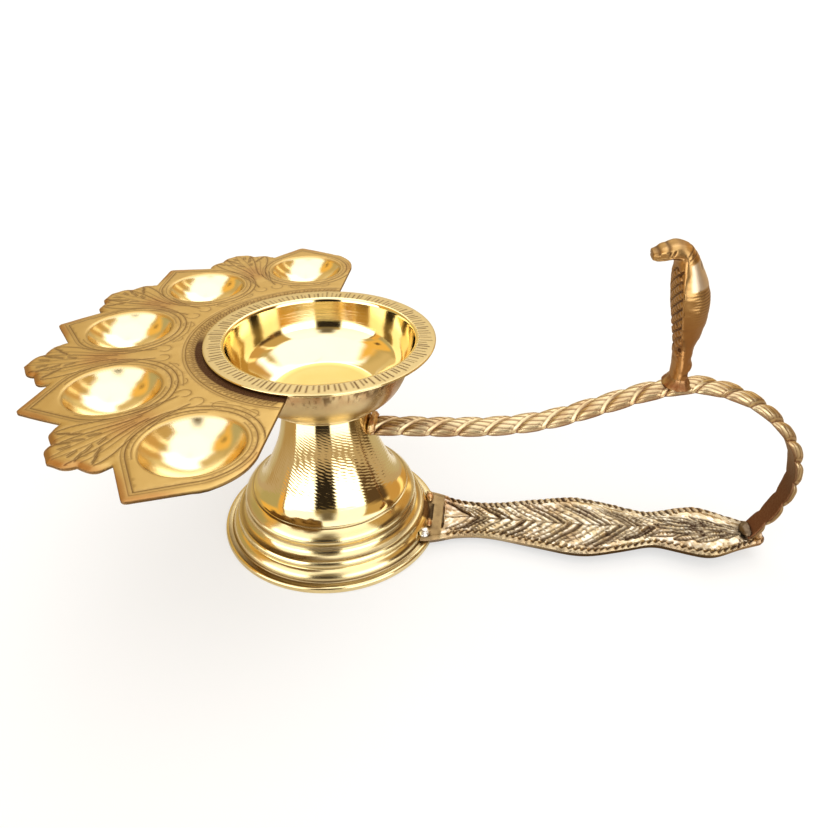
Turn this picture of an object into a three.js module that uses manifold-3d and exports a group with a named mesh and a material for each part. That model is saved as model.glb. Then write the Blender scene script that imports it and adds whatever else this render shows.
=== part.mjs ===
// Five-wick brass aarti lamp: a turned stand and bowl, a fan-shaped plate with five oil cups,
// a flat cast handle, and a rope-patterned arm that loops from the neck over to the handle's tip
// with a small rearing cobra on top of it.
// Units are millimetres. +Z is up, +X runs from the stand's axis towards the handle.

import * as THREE from "three";
import { mergeVertices } from "three/addons/utils/BufferGeometryUtils.js";
import Module from "manifold-3d";

const wasm = await Module();
wasm.setup();

// Clearance and facets
const GAP = 0.3; // left between pieces that are brazed, soldered or bolted together
const ROUND = 40; // facets round a turned piece
const CURVE = 3; // steps along each curved stretch of a turned outline
const SMALL_ROUND = 20; // facets round the stud and the washer

// Stand
const STAND_H = 60.3;
const STAND_WALL = 1.9;
const FOOT_R = 43.75;
const FOOT_LIP_H = 3;
const FOOT_REST = 3.4; // width of the flat ring that the lamp rests on
const GROOVE = 3.1; // how far the groove behind the foot's lip lies inside the foot's edge
const OVOLO_IN = 5.95; // how far the mouldings lie inside the foot's edge
const OVOLO_TOP = 7;
const BEAD_TOP = 9.8;
const COVE_IN = 9.95;
const COVE_TOP = 13.3;
const TORUS_IN = 9.75;
const TORUS_TOP = 20.4;
const BELL_IN = 13.15; // lower edge of the bell-shaped upper part
const BELL_FLARE = 7; // from the neck out to the turn of the bell
const BELL_TURN_Z = 31;
const NECK_R = 16.2;
const NECK_CAP = 3; // thickness of the closed top of the neck

// Bowl
const BOWL_H = 23.4;
const BOWL_BASE_R = 23;
const BOWL_WALL = 1.4;
const BOWL_FLOOR = 2.4;
const WALL_TOP_R = 34.9; // outside of the wall just under the rim
const RIM_R = 41;
const RIM_WIDTH = 6.85;
const RIM_THICK = 0.9;

// Stud that clamps the bowl to the stand
const STUD_R = 3;
const STUD_HEAD_R = 7;
const STUD_HEAD_H = 0.7;
const STUD_LENGTH = 13;
const STUD_CHAMFER = 0.5;
const WASHER_R = 7;
const WASHER_H = 1.2;
const NUT_FLATS = 10;
const NUT_H = 5;

// Fan plate
const PLATE_T = 1;
const PLATE_DROP = 0.3; // from the rim's underside to the plate's top
const PETALS = 5;
const PETAL_STEP = THREE.MathUtils.degToRad(36.2);
const PETAL_HALF = THREE.MathUtils.degToRad(8.6); // half of the angle a petal takes at its shoulders
const FAN_R = 98.8; // tips of the petals and leaves
const SHOULDER_DROP = 10.4; // from a petal's tip in to its shoulders
const TIP_ROUND = 1.6;
const PLATE_END_X = -2; // the straight ends of the fan, beside the bowl
const PLATE_CORNER_Y = 71;
const PLATE_CORNER_RISE = 9.5; // how far the rounded corner reaches past the straight end
const INNER_STEPS = 28; // facets along the edge beside the bowl
const CUP_R = 14.9;
const CUP_DEPTH = 8.5;
const CUP_WALL = 1.1;
const CUP_FACETS = 20;
const CUP_STEPS = 2.5; // half of the facets down the side of a cup
const CUP_CENTRE_R = 71;

// Cast handle
const HANDLE_LENGTH = 126.6; // from the foot's edge to the tip
const HANDLE_T = 2.95;
const HANDLE_ROOT_Z = 5.35; // top face at the foot's edge
const HANDLE_RISE = 3.6; // how much higher the top face is at the tip
const HANDLE_SIDES = [
  [-6, 15.4],
  [0.25, 13.8],
  [8.25, 11.2],
  [21.25, 10.2],
  [40.25, 14],
  [57.25, 17],
  [73.25, 13.2],
  [85.25, 9.7],
  [95.25, 12.1],
  [106.25, 14.3],
  [117.25, 9.3],
]; // distance past the foot's edge and half of the width there
const HANDLE_TIP_HALF = 5.6;
const HANDLE_TIP_BEVEL = 1.6;
const HANDLE_STEPS = 40;
const BORDER_W = 2.6; // raised rope border along each edge
const BORDER_H = 0.7;
const FLANGE_L = 1.75; // the plain flange ends this far past the foot's edge
const FLANGE_SINK = 0.4; // how far the flange's middle lies below its edges
const SLIT_Y = 1.8; // middle of the open stretch of the joint between the handle's root and the foot
const SLIT_L = 10.5;
const SLIT_W = 1.2;

// Rope arm
const ARM_DROP = 12.6; // from the top of the stand down to the middle of the bar's root
const ARM_RUN = [
  [0.11, 1],
  [0.26, 2],
  [0.41, 4],
  [0.552, 8.4],
  [0.686, 15.6],
  [0.812, 22.6],
  [0.922, 26.2],
]; // middle of the bar up to its highest point: share of the way to the loop, and height above its root
const ARM_LOOP = [
  [-29.5, 0.985],
  [-18, 0.923],
  [-7, 0.8],
  [2.8, 0.612],
  [6.2, 0.4],
  [4, 0.205],
  [-1, 0.03],
  [-5, -0.08],
]; // on round the loop: X past the handle's tip, and share of the height from there to the top
const ARM_HALF_ROOT = 5.2;
const ARM_HALF_END = 4.5;
const ARM_T_ROOT = 4.8;
const ARM_T_END = 3.7;
const ARM_STEPS = 104;
const ARM_ARC = 8; // facets over the rounded side
const STRAND_PITCH = 12.5;
const STRAND_LEAN = 1.15; // how far along the bar a strand shifts for each millimetre across it
const STRAND_DEPTH = 0.75;

// Cobra, by stations from the foot to the nose: X and Z of its front and of its back, measured
// from the middle of the foot on the arm, half of its width, and how far back the widest place is
const COBRA_BACK = 45.15; // from the handle's tip back to the middle of its foot
const COBRA = [
  { front: [-2.5, -0.6], back: [3.4, -0.6], half: 4.7, widest: 0.5 },
  { front: [-2.9, 7.4], back: [3.2, 8.4], half: 4.9, widest: 0.5 },
  { front: [-3.4, 15.4], back: [3, 15.6], half: 5.8, widest: 0.4 },
  { front: [-3.9, 20.4], back: [4, 20], half: 7.6, widest: 0.2 },
  { front: [-4.5, 25.4], back: [4.6, 25.4], half: 9.3, widest: 0.1 },
  { front: [-5.5, 30.9], back: [4.5, 31.3], half: 10, widest: 0.08 },
  { front: [-6.7, 35.9], back: [3.1, 37], half: 9.7, widest: 0.1 },
  { front: [-7.8, 40.2], back: [0.5, 42.3], half: 8.4, widest: 0.2 },
  { front: [-8.8, 43.6], back: [-2, 46.4], half: 6.8, widest: 0.35 },
  { front: [-9.8, 45.2], back: [-5, 49.8], half: 5.9, widest: 0.5 },
  { front: [-11.2, 45.6], back: [-8.8, 51], half: 5.5, widest: 0.5 },
  { front: [-13, 45.6], back: [-12.6, 50], half: 4.5, widest: 0.5 },
  { front: [-15.2, 45.4], back: [-15.6, 48.4], half: 3.3, widest: 0.5 },
  { front: [-16.6, 46], back: [-16.9, 47.8], half: 2.1, widest: 0.5 },
];
const COBRA_RINGS = 27;
const COBRA_ARC = 14;

// Brazing and solder
const PLATE_FILLET = 2.6;
const PLATE_FILLET_FROM = THREE.MathUtils.degToRad(98);
const PLATE_FILLET_TO = THREE.MathUtils.degToRad(140);
const PLATE_FILLET_STEPS = 12;
const LUMP_FACETS = 12;

// Materials
function metal(color, roughness, metalness = 1) {
  return new THREE.MeshStandardMaterial({ color, roughness, metalness });
}

const polishedBrass = metal(0xe8c878, 0.12);
const engravedBrass = metal(0xc8a564, 0.34);
const castBrass = metal(0xb08a58, 0.4);
const ropeBrass = metal(0xc9a06a, 0.36);
const cobraBrass = metal(0xbe8c50, 0.38);
const braze = metal(0xb5703c, 0.5);
const solder = metal(0xc6c2b6, 0.4);
const zincSteel = metal(0xb9bcc0, 0.35);

// A closed three.js geometry as a solid that can be cut and joined
function solid(geometry) {
  const bare = geometry.clone();
  bare.deleteAttribute("normal");
  bare.deleteAttribute("uv");
  const merged = mergeVertices(bare, 1e-3);
  return new wasm.Manifold(
    new wasm.Mesh({
      numProp: 3,
      vertProperties: new Float32Array(merged.attributes.position.array),
      triVerts: new Uint32Array(merged.index.array),
    }),
  );
}

// The solid as a three.js geometry again
function geometryOf(body) {
  const mesh = body.getMesh();
  const geometry = new THREE.BufferGeometry();
  const points = new Float32Array(mesh.numVert * 3);
  for (let i = 0; i < mesh.numVert; i += 1) {
    for (let k = 0; k < 3; k += 1) {
      points[3 * i + k] = mesh.vertProperties[mesh.numProp * i + k];
    }
  }
  geometry.setAttribute("position", new THREE.BufferAttribute(points, 3));
  geometry.setIndex([...mesh.triVerts]);
  geometry.computeVertexNormals();
  return geometry;
}

// The largest body that a cut leaves; slivers cut off beside it are dropped
function largest(body) {
  return body.decompose().sort((a, b) => b.volume() - a.volume())[0];
}

// A body turned about the Z axis from a path of radius and height
function turned(path, facets = ROUND, steps = CURVE) {
  const geometry = new THREE.LatheGeometry(path.getPoints(steps), facets);
  geometry.rotateX(Math.PI / 2);
  return geometry;
}

// A closed body through rings of equally many points, with a flat cap on each end
function lofted(rings) {
  const count = rings[0].length;
  const points = rings.flat();
  const faces = [];
  for (let r = 0; r + 1 < rings.length; r += 1) {
    for (let i = 0; i < count; i += 1) {
      const a = r * count + i;
      const b = r * count + ((i + 1) % count);
      faces.push(a, b, b + count, a, b + count, a + count);
    }
  }
  for (const [ring, base, flip] of [
    [rings[0], 0, true],
    [rings.at(-1), points.length - count, false],
  ]) {
    const middle = points.length;
    const centre = new THREE.Vector3();
    ring.forEach((p) => centre.addScaledVector(p, 1 / count));
    points.push(centre);
    for (let i = 0; i < count; i += 1) {
      const a = base + i;
      const b = base + ((i + 1) % count);
      faces.push(...(flip ? [b, a, middle] : [a, b, middle]));
    }
  }
  const geometry = new THREE.BufferGeometry().setFromPoints(points);
  geometry.setIndex(faces);
  geometry.computeVertexNormals();
  return geometry;
}

// A smooth curve through points of X and Z in the lamp's middle plane
function middleCurve(points) {
  return new THREE.CatmullRomCurve3(
    points.map(([x, z]) => new THREE.Vector3(x, 0, z)),
    false,
    "centripetal",
  );
}

// Outline of the stand's outside, from the table up to the top of the neck, moved out and up
function standOutside(path, out, up) {
  const lip = FOOT_LIP_H + up;
  const ovolo = OVOLO_TOP + up;
  const bead = BEAD_TOP + up;
  const cove = COVE_TOP + up;
  const torus = TORUS_TOP + up;
  const ovoloR = FOOT_R - OVOLO_IN + out;
  const coveR = FOOT_R - COVE_IN + out;
  const torusR = FOOT_R - TORUS_IN + out;
  const bellR = FOOT_R - BELL_IN + out;
  const turnR = NECK_R + BELL_FLARE + out;
  const turnZ = BELL_TURN_Z + up;
  path.lineTo(FOOT_R - 0.9 + out, 0);
  path.quadraticCurveTo(FOOT_R + out, 0.1, FOOT_R + out, lip - FOOT_LIP_H / 2);
  path.quadraticCurveTo(FOOT_R + out, lip, FOOT_R - 1.5 + out, lip);
  path.lineTo(FOOT_R - GROOVE + 0.2 + out, lip - 0.2);
  path.lineTo(FOOT_R - GROOVE + out, lip + 0.7);
  path.quadraticCurveTo(FOOT_R - GROOVE - 0.5 + out, ovolo - 1, ovoloR + 0.2, ovolo);
  path.quadraticCurveTo(ovoloR + 0.6, (ovolo + bead) / 2, ovoloR - 0.4, bead);
  path.quadraticCurveTo(coveR + 0.7, bead + 0.4, coveR, cove);
  path.lineTo(torusR - 0.8, cove + 0.5);
  path.quadraticCurveTo(torusR + 2.2, cove + 2.9, bellR + 0.6, torus);
  path.lineTo(bellR, torus + 0.3);
  path.bezierCurveTo(turnR + 4, torus + 1.8, turnR + 1.4, turnZ - 3.2, turnR, turnZ);
  path.bezierCurveTo(turnR - 3.8, turnZ + 8, NECK_R + 0.6 + out, STAND_H - 14 + up, NECK_R + out, STAND_H);
}

function standBody() {
  const insideFoot = FOOT_R - 0.9 - FOOT_REST;
  const insideNeck = NECK_R - STAND_WALL;
  const insideTurn = NECK_R + BELL_FLARE - STAND_WALL;
  const insideBell = FOOT_R - BELL_IN - STAND_WALL - 1;
  const insideTorus = FOOT_R - TORUS_IN - STAND_WALL - 1.6;
  const insideOvolo = FOOT_R - OVOLO_IN - STAND_WALL;
  const path = new THREE.Path();
  path.moveTo(insideFoot, 0);
  standOutside(path, 0, 0);
  path.lineTo(STUD_R + GAP, STAND_H);
  path.lineTo(STUD_R + GAP, STAND_H - NECK_CAP);
  path.lineTo(insideNeck, STAND_H - NECK_CAP);
  path.bezierCurveTo(
    insideNeck + 0.6,
    STAND_H - 16,
    insideTurn - 3.6,
    BELL_TURN_Z + 7,
    insideTurn,
    BELL_TURN_Z - 1,
  );
  path.quadraticCurveTo(insideTurn + 3.9, TORUS_TOP, insideBell, TORUS_TOP - STAND_WALL);
  path.lineTo(insideTorus, COVE_TOP - 1);
  path.quadraticCurveTo(insideOvolo - 2.1, OVOLO_TOP + 1.2, insideOvolo, OVOLO_TOP - 1);
  path.lineTo(insideFoot, 0);
  return turned(path);
}

// The space that a neighbour of the stand keeps clear of
function standEnvelope() {
  const path = new THREE.Path();
  path.moveTo(0, -GAP);
  path.lineTo(FOOT_R + GAP, -GAP);
  standOutside(path, GAP, GAP);
  path.lineTo(0, STAND_H);
  return solid(turned(path));
}

function bowlBody() {
  const base = STAND_H + GAP;
  const rimTop = base + BOWL_H;
  const rimUnder = rimTop - RIM_THICK;
  const recessR = STUD_HEAD_R + GAP;
  const recessTop = base + STUD_HEAD_H + GAP;
  const rimIn = RIM_R - RIM_WIDTH;
  const wallIn = WALL_TOP_R - BOWL_WALL;
  const path = new THREE.Path();
  path.moveTo(0, recessTop);
  path.lineTo(recessR, recessTop);
  path.lineTo(recessR, base);
  path.lineTo(BOWL_BASE_R - 0.3, base);
  path.quadraticCurveTo(BOWL_BASE_R + 0.5, base + 0.5, BOWL_BASE_R + 0.1, base + 1.1);
  path.lineTo(BOWL_BASE_R + 0.9, base + 1.5);
  path.bezierCurveTo(
    BOWL_BASE_R + 6,
    base + 4.2,
    WALL_TOP_R - 4.2,
    base + 9.4,
    WALL_TOP_R - 0.7,
    rimUnder - 1,
  );
  path.quadraticCurveTo(WALL_TOP_R - 0.3, rimUnder - 0.1, WALL_TOP_R + 0.5, rimUnder);
  path.lineTo(RIM_R - 0.3, rimUnder);
  path.quadraticCurveTo(RIM_R, rimUnder, RIM_R, rimUnder + RIM_THICK / 2);
  path.quadraticCurveTo(RIM_R, rimTop, RIM_R - 0.4, rimTop);
  path.lineTo(rimIn + 0.7, rimTop);
  path.quadraticCurveTo(rimIn, rimTop, rimIn - 0.2, rimTop - 0.8);
  path.bezierCurveTo(
    wallIn - 3.6,
    base + 11,
    BOWL_BASE_R + 3,
    base + BOWL_FLOOR + 1.6,
    BOWL_BASE_R - 9,
    base + BOWL_FLOOR + 0.4,
  );
  path.lineTo(0, base + BOWL_FLOOR);
  return turned(path);
}

function studBody() {
  const top = STAND_H + GAP + STUD_HEAD_H;
  const bottom = top - STUD_LENGTH;
  const path = new THREE.Path();
  path.moveTo(0, bottom);
  path.lineTo(STUD_R - STUD_CHAMFER, bottom);
  path.lineTo(STUD_R, bottom + STUD_CHAMFER);
  path.lineTo(STUD_R, top - STUD_HEAD_H);
  path.lineTo(STUD_HEAD_R, top - STUD_HEAD_H);
  path.lineTo(STUD_HEAD_R, top);
  path.lineTo(0, top);
  return turned(path, SMALL_ROUND);
}

function washerTop() {
  return STAND_H - NECK_CAP - GAP;
}

function washerBody() {
  const top = washerTop();
  const bore = STUD_R + GAP;
  const path = new THREE.Path();
  path.moveTo(bore, top - WASHER_H);
  path.lineTo(WASHER_R, top - WASHER_H);
  path.lineTo(WASHER_R, top);
  path.lineTo(bore, top);
  path.lineTo(bore, top - WASHER_H);
  return turned(path, SMALL_ROUND);
}

function nutBody() {
  const top = washerTop() - WASHER_H - GAP;
  const corner = NUT_FLATS / 2 / Math.cos(Math.PI / 6);
  const shape = new THREE.Shape();
  shape.moveTo(corner, 0);
  for (let i = 1; i < 6; i += 1) {
    const a = (i * Math.PI) / 3;
    shape.lineTo(corner * Math.cos(a), corner * Math.sin(a));
  }
  const bore = new THREE.Path();
  bore.absarc(0, 0, STUD_R + GAP, 0, 2 * Math.PI, true);
  shape.holes.push(bore);
  const geometry = new THREE.ExtrudeGeometry(shape, {
    depth: NUT_H,
    bevelEnabled: false,
    curveSegments: SMALL_ROUND / 2,
  });
  geometry.translate(0, 0, top - NUT_H);
  return geometry;
}

// A point of the plate's outline, by its angle from -X and its radius
function fanPoint(angle, radius) {
  return [-radius * Math.cos(angle), radius * Math.sin(angle)];
}

// The same, but by distances along and across the middle line of a petal or leaf
function petalPoint(middle, along, across) {
  return [
    -along * Math.cos(middle) - across * Math.sin(middle),
    along * Math.sin(middle) - across * Math.cos(middle),
  ];
}

// The pointed tip of a petal
function petalOutline(shape, middle) {
  const start = FAN_R - TIP_ROUND;
  shape.lineTo(...petalPoint(middle, start, -TIP_ROUND));
  shape.quadraticCurveTo(...petalPoint(middle, FAN_R, 0), ...petalPoint(middle, start, TIP_ROUND));
}

// A leaf between two petals: a broad middle lobe with a smaller lobe on each side
function leafOutline(shape, middle) {
  const at = (drop, across) => petalPoint(middle, FAN_R - drop, across);
  shape.quadraticCurveTo(...at(7.2, -14.2), ...at(6.2, -11.4));
  shape.quadraticCurveTo(...at(5.4, -9.2), ...at(5.2, -7.4));
  shape.quadraticCurveTo(...at(2.2, -6.6), ...at(1.5, -3.6));
  shape.quadraticCurveTo(...at(0.9, -1.4), ...at(0.3, 0));
  shape.quadraticCurveTo(...at(0.9, 1.4), ...at(1.5, 3.6));
  shape.quadraticCurveTo(...at(2.2, 6.6), ...at(5.2, 7.4));
  shape.quadraticCurveTo(...at(5.4, 9.2), ...at(6.2, 11.4));
  const end = middle - (PETAL_STEP / 2 - PETAL_HALF);
  shape.quadraticCurveTo(...at(7.2, 14.2), ...fanPoint(end, FAN_R - SHOULDER_DROP));
}

function fanOutline(inner) {
  const shape = new THREE.Shape();
  const first = ((PETALS - 1) / 2) * PETAL_STEP;
  const last = first + PETAL_HALF * 1.25;
  const lastR = FAN_R - SHOULDER_DROP - 1.6;
  const bendX = PLATE_END_X - 0.6;
  const bendY = PLATE_CORNER_Y + PLATE_CORNER_RISE;
  shape.moveTo(PLATE_END_X, PLATE_CORNER_Y);
  shape.quadraticCurveTo(bendX, bendY, ...fanPoint(last, lastR));
  for (let i = 0; i < PETALS; i += 1) {
    const middle = first - i * PETAL_STEP;
    petalOutline(shape, middle);
    if (i + 1 < PETALS) {
      shape.lineTo(...fanPoint(middle - PETAL_HALF, FAN_R - SHOULDER_DROP));
      leafOutline(shape, middle - PETAL_STEP / 2);
    }
  }
  shape.lineTo(...fanPoint(-last, lastR));
  shape.quadraticCurveTo(bendX, -bendY, PLATE_END_X, -PLATE_CORNER_Y);
  const end = Math.acos(-PLATE_END_X / inner);
  const half = end / INNER_STEPS;
  for (let i = 0; i <= INNER_STEPS; i += 1) {
    shape.lineTo(...fanPoint(-end + 2 * half * i, inner / Math.cos(half)));
  }
  return shape;
}

// One stamped cup: a shallow dished shell whose edge lies in the plate
function cupShell() {
  const sphere = (CUP_R * CUP_R + CUP_DEPTH * CUP_DEPTH) / (2 * CUP_DEPTH);
  const centre = sphere - CUP_DEPTH;
  const outer = sphere + CUP_WALL;
  const low = Math.asin(centre / sphere);
  const lowOuter = Math.asin((centre + PLATE_T / 2) / outer);
  const path = new THREE.Path();
  path.moveTo(0, -CUP_DEPTH - CUP_WALL);
  path.absarc(0, centre, outer, -Math.PI / 2, -lowOuter, false);
  path.lineTo(CUP_R + 2 * GAP, 0);
  path.lineTo(CUP_R, 0);
  path.absarc(0, centre, sphere, -low, -Math.PI / 2, true);
  return solid(turned(path, CUP_FACETS, CUP_STEPS));
}

function plateTop() {
  return STAND_H + GAP + BOWL_H - RIM_THICK - PLATE_DROP;
}

function plateBody() {
  const sheet = new THREE.ExtrudeGeometry(fanOutline(WALL_TOP_R + GAP), {
    depth: PLATE_T,
    bevelEnabled: false,
    curveSegments: CURVE,
  });
  sheet.translate(0, 0, -PLATE_T);
  const holeR = CUP_R + GAP;
  const punch = new THREE.CylinderGeometry(holeR, holeR, 3 * PLATE_T, CUP_FACETS).rotateX(Math.PI / 2);
  const hole = solid(punch);
  const cup = cupShell();
  let plate = solid(sheet);
  for (let i = 0; i < PETALS; i += 1) {
    const angle = (i - (PETALS - 1) / 2) * PETAL_STEP;
    const [x, y] = fanPoint(angle, CUP_CENTRE_R);
    plate = plate.subtract(hole.translate([x, y, 0])).add(cup.translate([x, y, 0]));
  }
  return geometryOf(plate.translate([0, 0, plateTop()]));
}

function handleTipX() {
  return FOOT_R + HANDLE_LENGTH;
}

// Height of the handle's top face at a distance along X: level at the foot, then gently rising
function handleTop(x) {
  const t = Math.max(0, (x - FOOT_R) / HANDLE_LENGTH);
  return HANDLE_ROOT_Z + HANDLE_RISE * t ** 1.5;
}

// One cross-section of the handle, moved out by grow on every side
function handleRing(x, half, grow) {
  const top = handleTop(x) + grow;
  const bottom = handleTop(x) - HANDLE_T - grow;
  const side = half + grow;
  const sink = x < FOOT_R + FLANGE_L ? FLANGE_SINK : BORDER_H;
  const border = Math.min(BORDER_W, half * 0.42);
  const field = half - border - grow;
  const right = [
    [side - 0.6, bottom],
    [side, bottom + 0.6],
    [side, top - 0.9],
    [side - 0.7, top - 0.1],
    [field + border * 0.38, top],
    [field, top - sink],
    [field * 0.4, top - sink * 0.45],
  ];
  const left = right.map(([y, z]) => [-y, z]).reverse();
  return [...right, ...left].map(([y, z]) => new THREE.Vector3(x, y, z));
}

function handleLoft(grow) {
  const stations = [...HANDLE_SIDES, [HANDLE_LENGTH, HANDLE_TIP_HALF]];
  const sides = new THREE.SplineCurve(stations.map(([x, y]) => new THREE.Vector2(FOOT_R + x, y)));
  const rings = sides.getPoints(HANDLE_STEPS).map((p) => handleRing(p.x, p.y, grow));
  const end = handleTipX() + HANDLE_TIP_BEVEL + grow;
  rings.push(handleRing(end, HANDLE_TIP_HALF - HANDLE_TIP_BEVEL, grow));
  return solid(lofted(rings));
}

function handleBody() {
  const depth = 6;
  const slit = new THREE.BoxGeometry(depth, SLIT_L, 4 * HANDLE_T);
  slit.translate(FOOT_R - GROOVE + SLIT_W - depth / 2, SLIT_Y, HANDLE_ROOT_Z);
  return geometryOf(largest(handleLoft(0).subtract(standEnvelope()).subtract(solid(slit))));
}

// One cross-section of the rope arm: flat towards the inside of the loop, strands on the round side
function armRing(middle, along, out, distance, share, grow) {
  const half = THREE.MathUtils.lerp(ARM_HALF_ROOT, ARM_HALF_END, share) + grow;
  const thick = THREE.MathUtils.lerp(ARM_T_ROOT, ARM_T_END, share) + 2 * grow;
  const across = new THREE.Vector3().crossVectors(out, along);
  const at = (side, height) =>
    middle
      .clone()
      .addScaledVector(across, side)
      .addScaledVector(out, height - thick / 2);
  const ring = [];
  for (let i = 0; i <= ARM_ARC; i += 1) {
    const a = (i / ARM_ARC) * Math.PI;
    const side = Math.cos(a) * half;
    const phase = ((distance - STRAND_LEAN * side) / STRAND_PITCH) * Math.PI;
    const groove = 1 - Math.abs(Math.sin(phase));
    const deep = grow > 0 ? 0 : STRAND_DEPTH * groove * groove;
    const round = Math.sin(a) ** 0.75;
    const height = Math.max(0.5, round * thick - deep * Math.min(1, 3 * round));
    ring.push(at(side * (1 - (0.3 * deep) / half), height));
  }
  ring.push(at(-half * 0.9, 0), at(half * 0.9, 0));
  return ring;
}

function armRootZ() {
  return STAND_H - ARM_DROP;
}

// The middle of the bar, from inside the neck, over its highest point, down onto the handle
function armRoute() {
  const top = armRootZ() + ARM_RUN.at(-1)[1];
  const bottom = handleTop(handleTipX());
  const loop = ARM_LOOP.map(([x, share]) => [handleTipX() + x, bottom + share * (top - bottom)]);
  const start = NECK_R - 2.2;
  const run = ARM_RUN.map(([share, z]) => [THREE.MathUtils.lerp(start, loop[0][0], share), armRootZ() + z]);
  return middleCurve([[start, armRootZ()], ...run, ...loop]);
}

function armLoft(grow) {
  const route = armRoute();
  const length = route.getLength();
  const rings = [];
  for (let i = 0; i <= ARM_STEPS; i += 1) {
    const share = i / ARM_STEPS;
    const along = route.getTangentAt(share);
    const out = new THREE.Vector3(-along.z, 0, along.x);
    rings.push(armRing(route.getPointAt(share), along, out, share * length, share, grow));
  }
  return solid(lofted(rings));
}

function armBody() {
  return geometryOf(largest(armLoft(0).subtract(standEnvelope()).subtract(handleLoft(GAP))));
}

// Where the cobra stands: the middle of the bar under it
function cobraFoot() {
  const route = armRoute();
  let share = 0;
  while (route.getPointAt(share).x < handleTipX() - COBRA_BACK) {
    share += 0.001;
  }
  return route.getPointAt(share);
}

// One cross-section of the cobra, with its widest place nearer to the front at the hood
function cobraRing(front, back, half, widest, grow) {
  const depth = back.clone().sub(front);
  const length = depth.length();
  const backwards = depth.normalize();
  const ring = [];
  for (let i = 0; i < COBRA_ARC; i += 1) {
    const a = (i / COBRA_ARC) * 2 * Math.PI;
    const reach = Math.sin(a) > 0 ? widest * length : (1 - widest) * length;
    const point = front.clone().addScaledVector(backwards, widest * length - (reach + grow) * Math.sin(a));
    point.y += (half + grow) * Math.cos(a);
    ring.push(point);
  }
  return ring;
}

function cobraLoft(grow) {
  const foot = cobraFoot();
  const place = ([x, z]) => [foot.x + x, foot.z + z];
  const fronts = middleCurve(COBRA.map((s) => place(s.front)));
  const backs = middleCurve(COBRA.map((s) => place(s.back)));
  const girth = middleCurve(COBRA.map((s) => [s.half, s.widest]));
  const rings = [];
  for (let i = 0; i <= COBRA_RINGS; i += 1) {
    const t = i / COBRA_RINGS;
    const size = girth.getPoint(t);
    rings.push(cobraRing(fronts.getPoint(t), backs.getPoint(t), size.x, size.z, grow));
  }
  return solid(lofted(rings));
}

function cobraBody() {
  return geometryOf(largest(cobraLoft(0).subtract(armLoft(GAP))));
}

// An arc of brazing in the corner between the bowl's wall and the plate's underside
function plateFillet(from, to) {
  const high = plateTop() - PLATE_T - GAP;
  const wall = WALL_TOP_R - 0.2 + GAP;
  const rings = [];
  for (let i = 0; i <= PLATE_FILLET_STEPS; i += 1) {
    const share = i / PLATE_FILLET_STEPS;
    const a = THREE.MathUtils.lerp(from, to, share);
    const size = PLATE_FILLET * (0.45 + 0.55 * Math.sin(share * Math.PI) ** 0.5);
    const section = [
      [wall + size, high],
      [wall + size * 0.7, high - size * 0.45],
      [wall + size * 0.12, high - size * 0.95],
      [wall - size * 0.28, high - size],
      [wall, high],
    ];
    rings.push(section.map(([r, z]) => new THREE.Vector3(r * Math.cos(a), r * Math.sin(a), z)));
  }
  return lofted(rings);
}

// A lump of brazing: a rounded body less the pieces that it joins
function lump(centre, radii, cutters) {
  const ball = new THREE.SphereGeometry(1, LUMP_FACETS, LUMP_FACETS / 2);
  ball.rotateX(Math.PI / 2).scale(...radii).translate(...centre);
  let body = solid(ball);
  for (const cutter of cutters) {
    body = body.subtract(cutter);
  }
  return geometryOf(largest(body));
}

// A bead beside the stand's foot, on top of the handle's root
function rootBead(y, radii, cutters) {
  const joint = FOOT_R - GROOVE + 0.6;
  return lump([Math.sqrt(joint * joint - y * y), y, HANDLE_ROOT_Z + 0.2], radii, cutters);
}

function piece(name, geometry, material) {
  const mesh = new THREE.Mesh(geometry, material);
  mesh.name = name;
  return mesh;
}

function lamp() {
  const stand = standEnvelope();
  const arm = armLoft(GAP);
  const handle = handleLoft(GAP);
  const cobra = cobraLoft(GAP);
  const foot = cobraFoot();
  const end = armRoute().getPoint(1);
  const root = new THREE.Group();
  root.add(
    piece("stand", standBody(), polishedBrass),
    piece("bowl", bowlBody(), polishedBrass),
    piece("bowl_stud", studBody(), zincSteel),
    piece("stud_washer", washerBody(), zincSteel),
    piece("stud_nut", nutBody(), zincSteel),
    piece("fan_plate", plateBody(), engravedBrass),
    piece("plate_braze_near", plateFillet(-PLATE_FILLET_TO, -PLATE_FILLET_FROM), braze),
    piece("plate_braze_far", plateFillet(PLATE_FILLET_FROM, PLATE_FILLET_TO), braze),
    piece("handle", handleBody(), castBrass),
    piece("handle_solder_near", rootBead(-12, [2.8, 3, 2], [stand, handle]), solder),
    piece("handle_braze_near", rootBead(-6, [1.5, 2.6, 1.4], [stand, handle]), braze),
    piece("handle_braze_far", rootBead(10.6, [1.7, 3.6, 1.6], [stand, handle]), braze),
    piece("rope_arm", armBody(), ropeBrass),
    piece("arm_braze_neck", lump([NECK_R + 1.2, 0, armRootZ() + 0.8], [3.8, 6.6, 4.2], [stand, arm]), braze),
    piece("arm_braze_handle", lump([end.x + 1.6, 0, end.z + 5.5], [4, 5, 2.2], [handle, arm]), braze),
    piece("cobra", cobraBody(), cobraBrass),
    piece("cobra_braze", lump([foot.x, 0, foot.z + 1.6], [4.6, 5.8, 2.4], [arm, cobra]), braze),
  );
  return root;
}

// The origin is under the middle of the lamp, at the level of the table
function centred(group) {
  group.updateMatrixWorld(true);
  const box = new THREE.Box3().setFromObject(group);
  const middle = box.getCenter(new THREE.Vector3());
  group.position.set(-middle.x, -middle.y, -box.min.z);
  const whole = new THREE.Group();
  whole.add(group);
  return whole;
}

export default centred(lamp());
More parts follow.
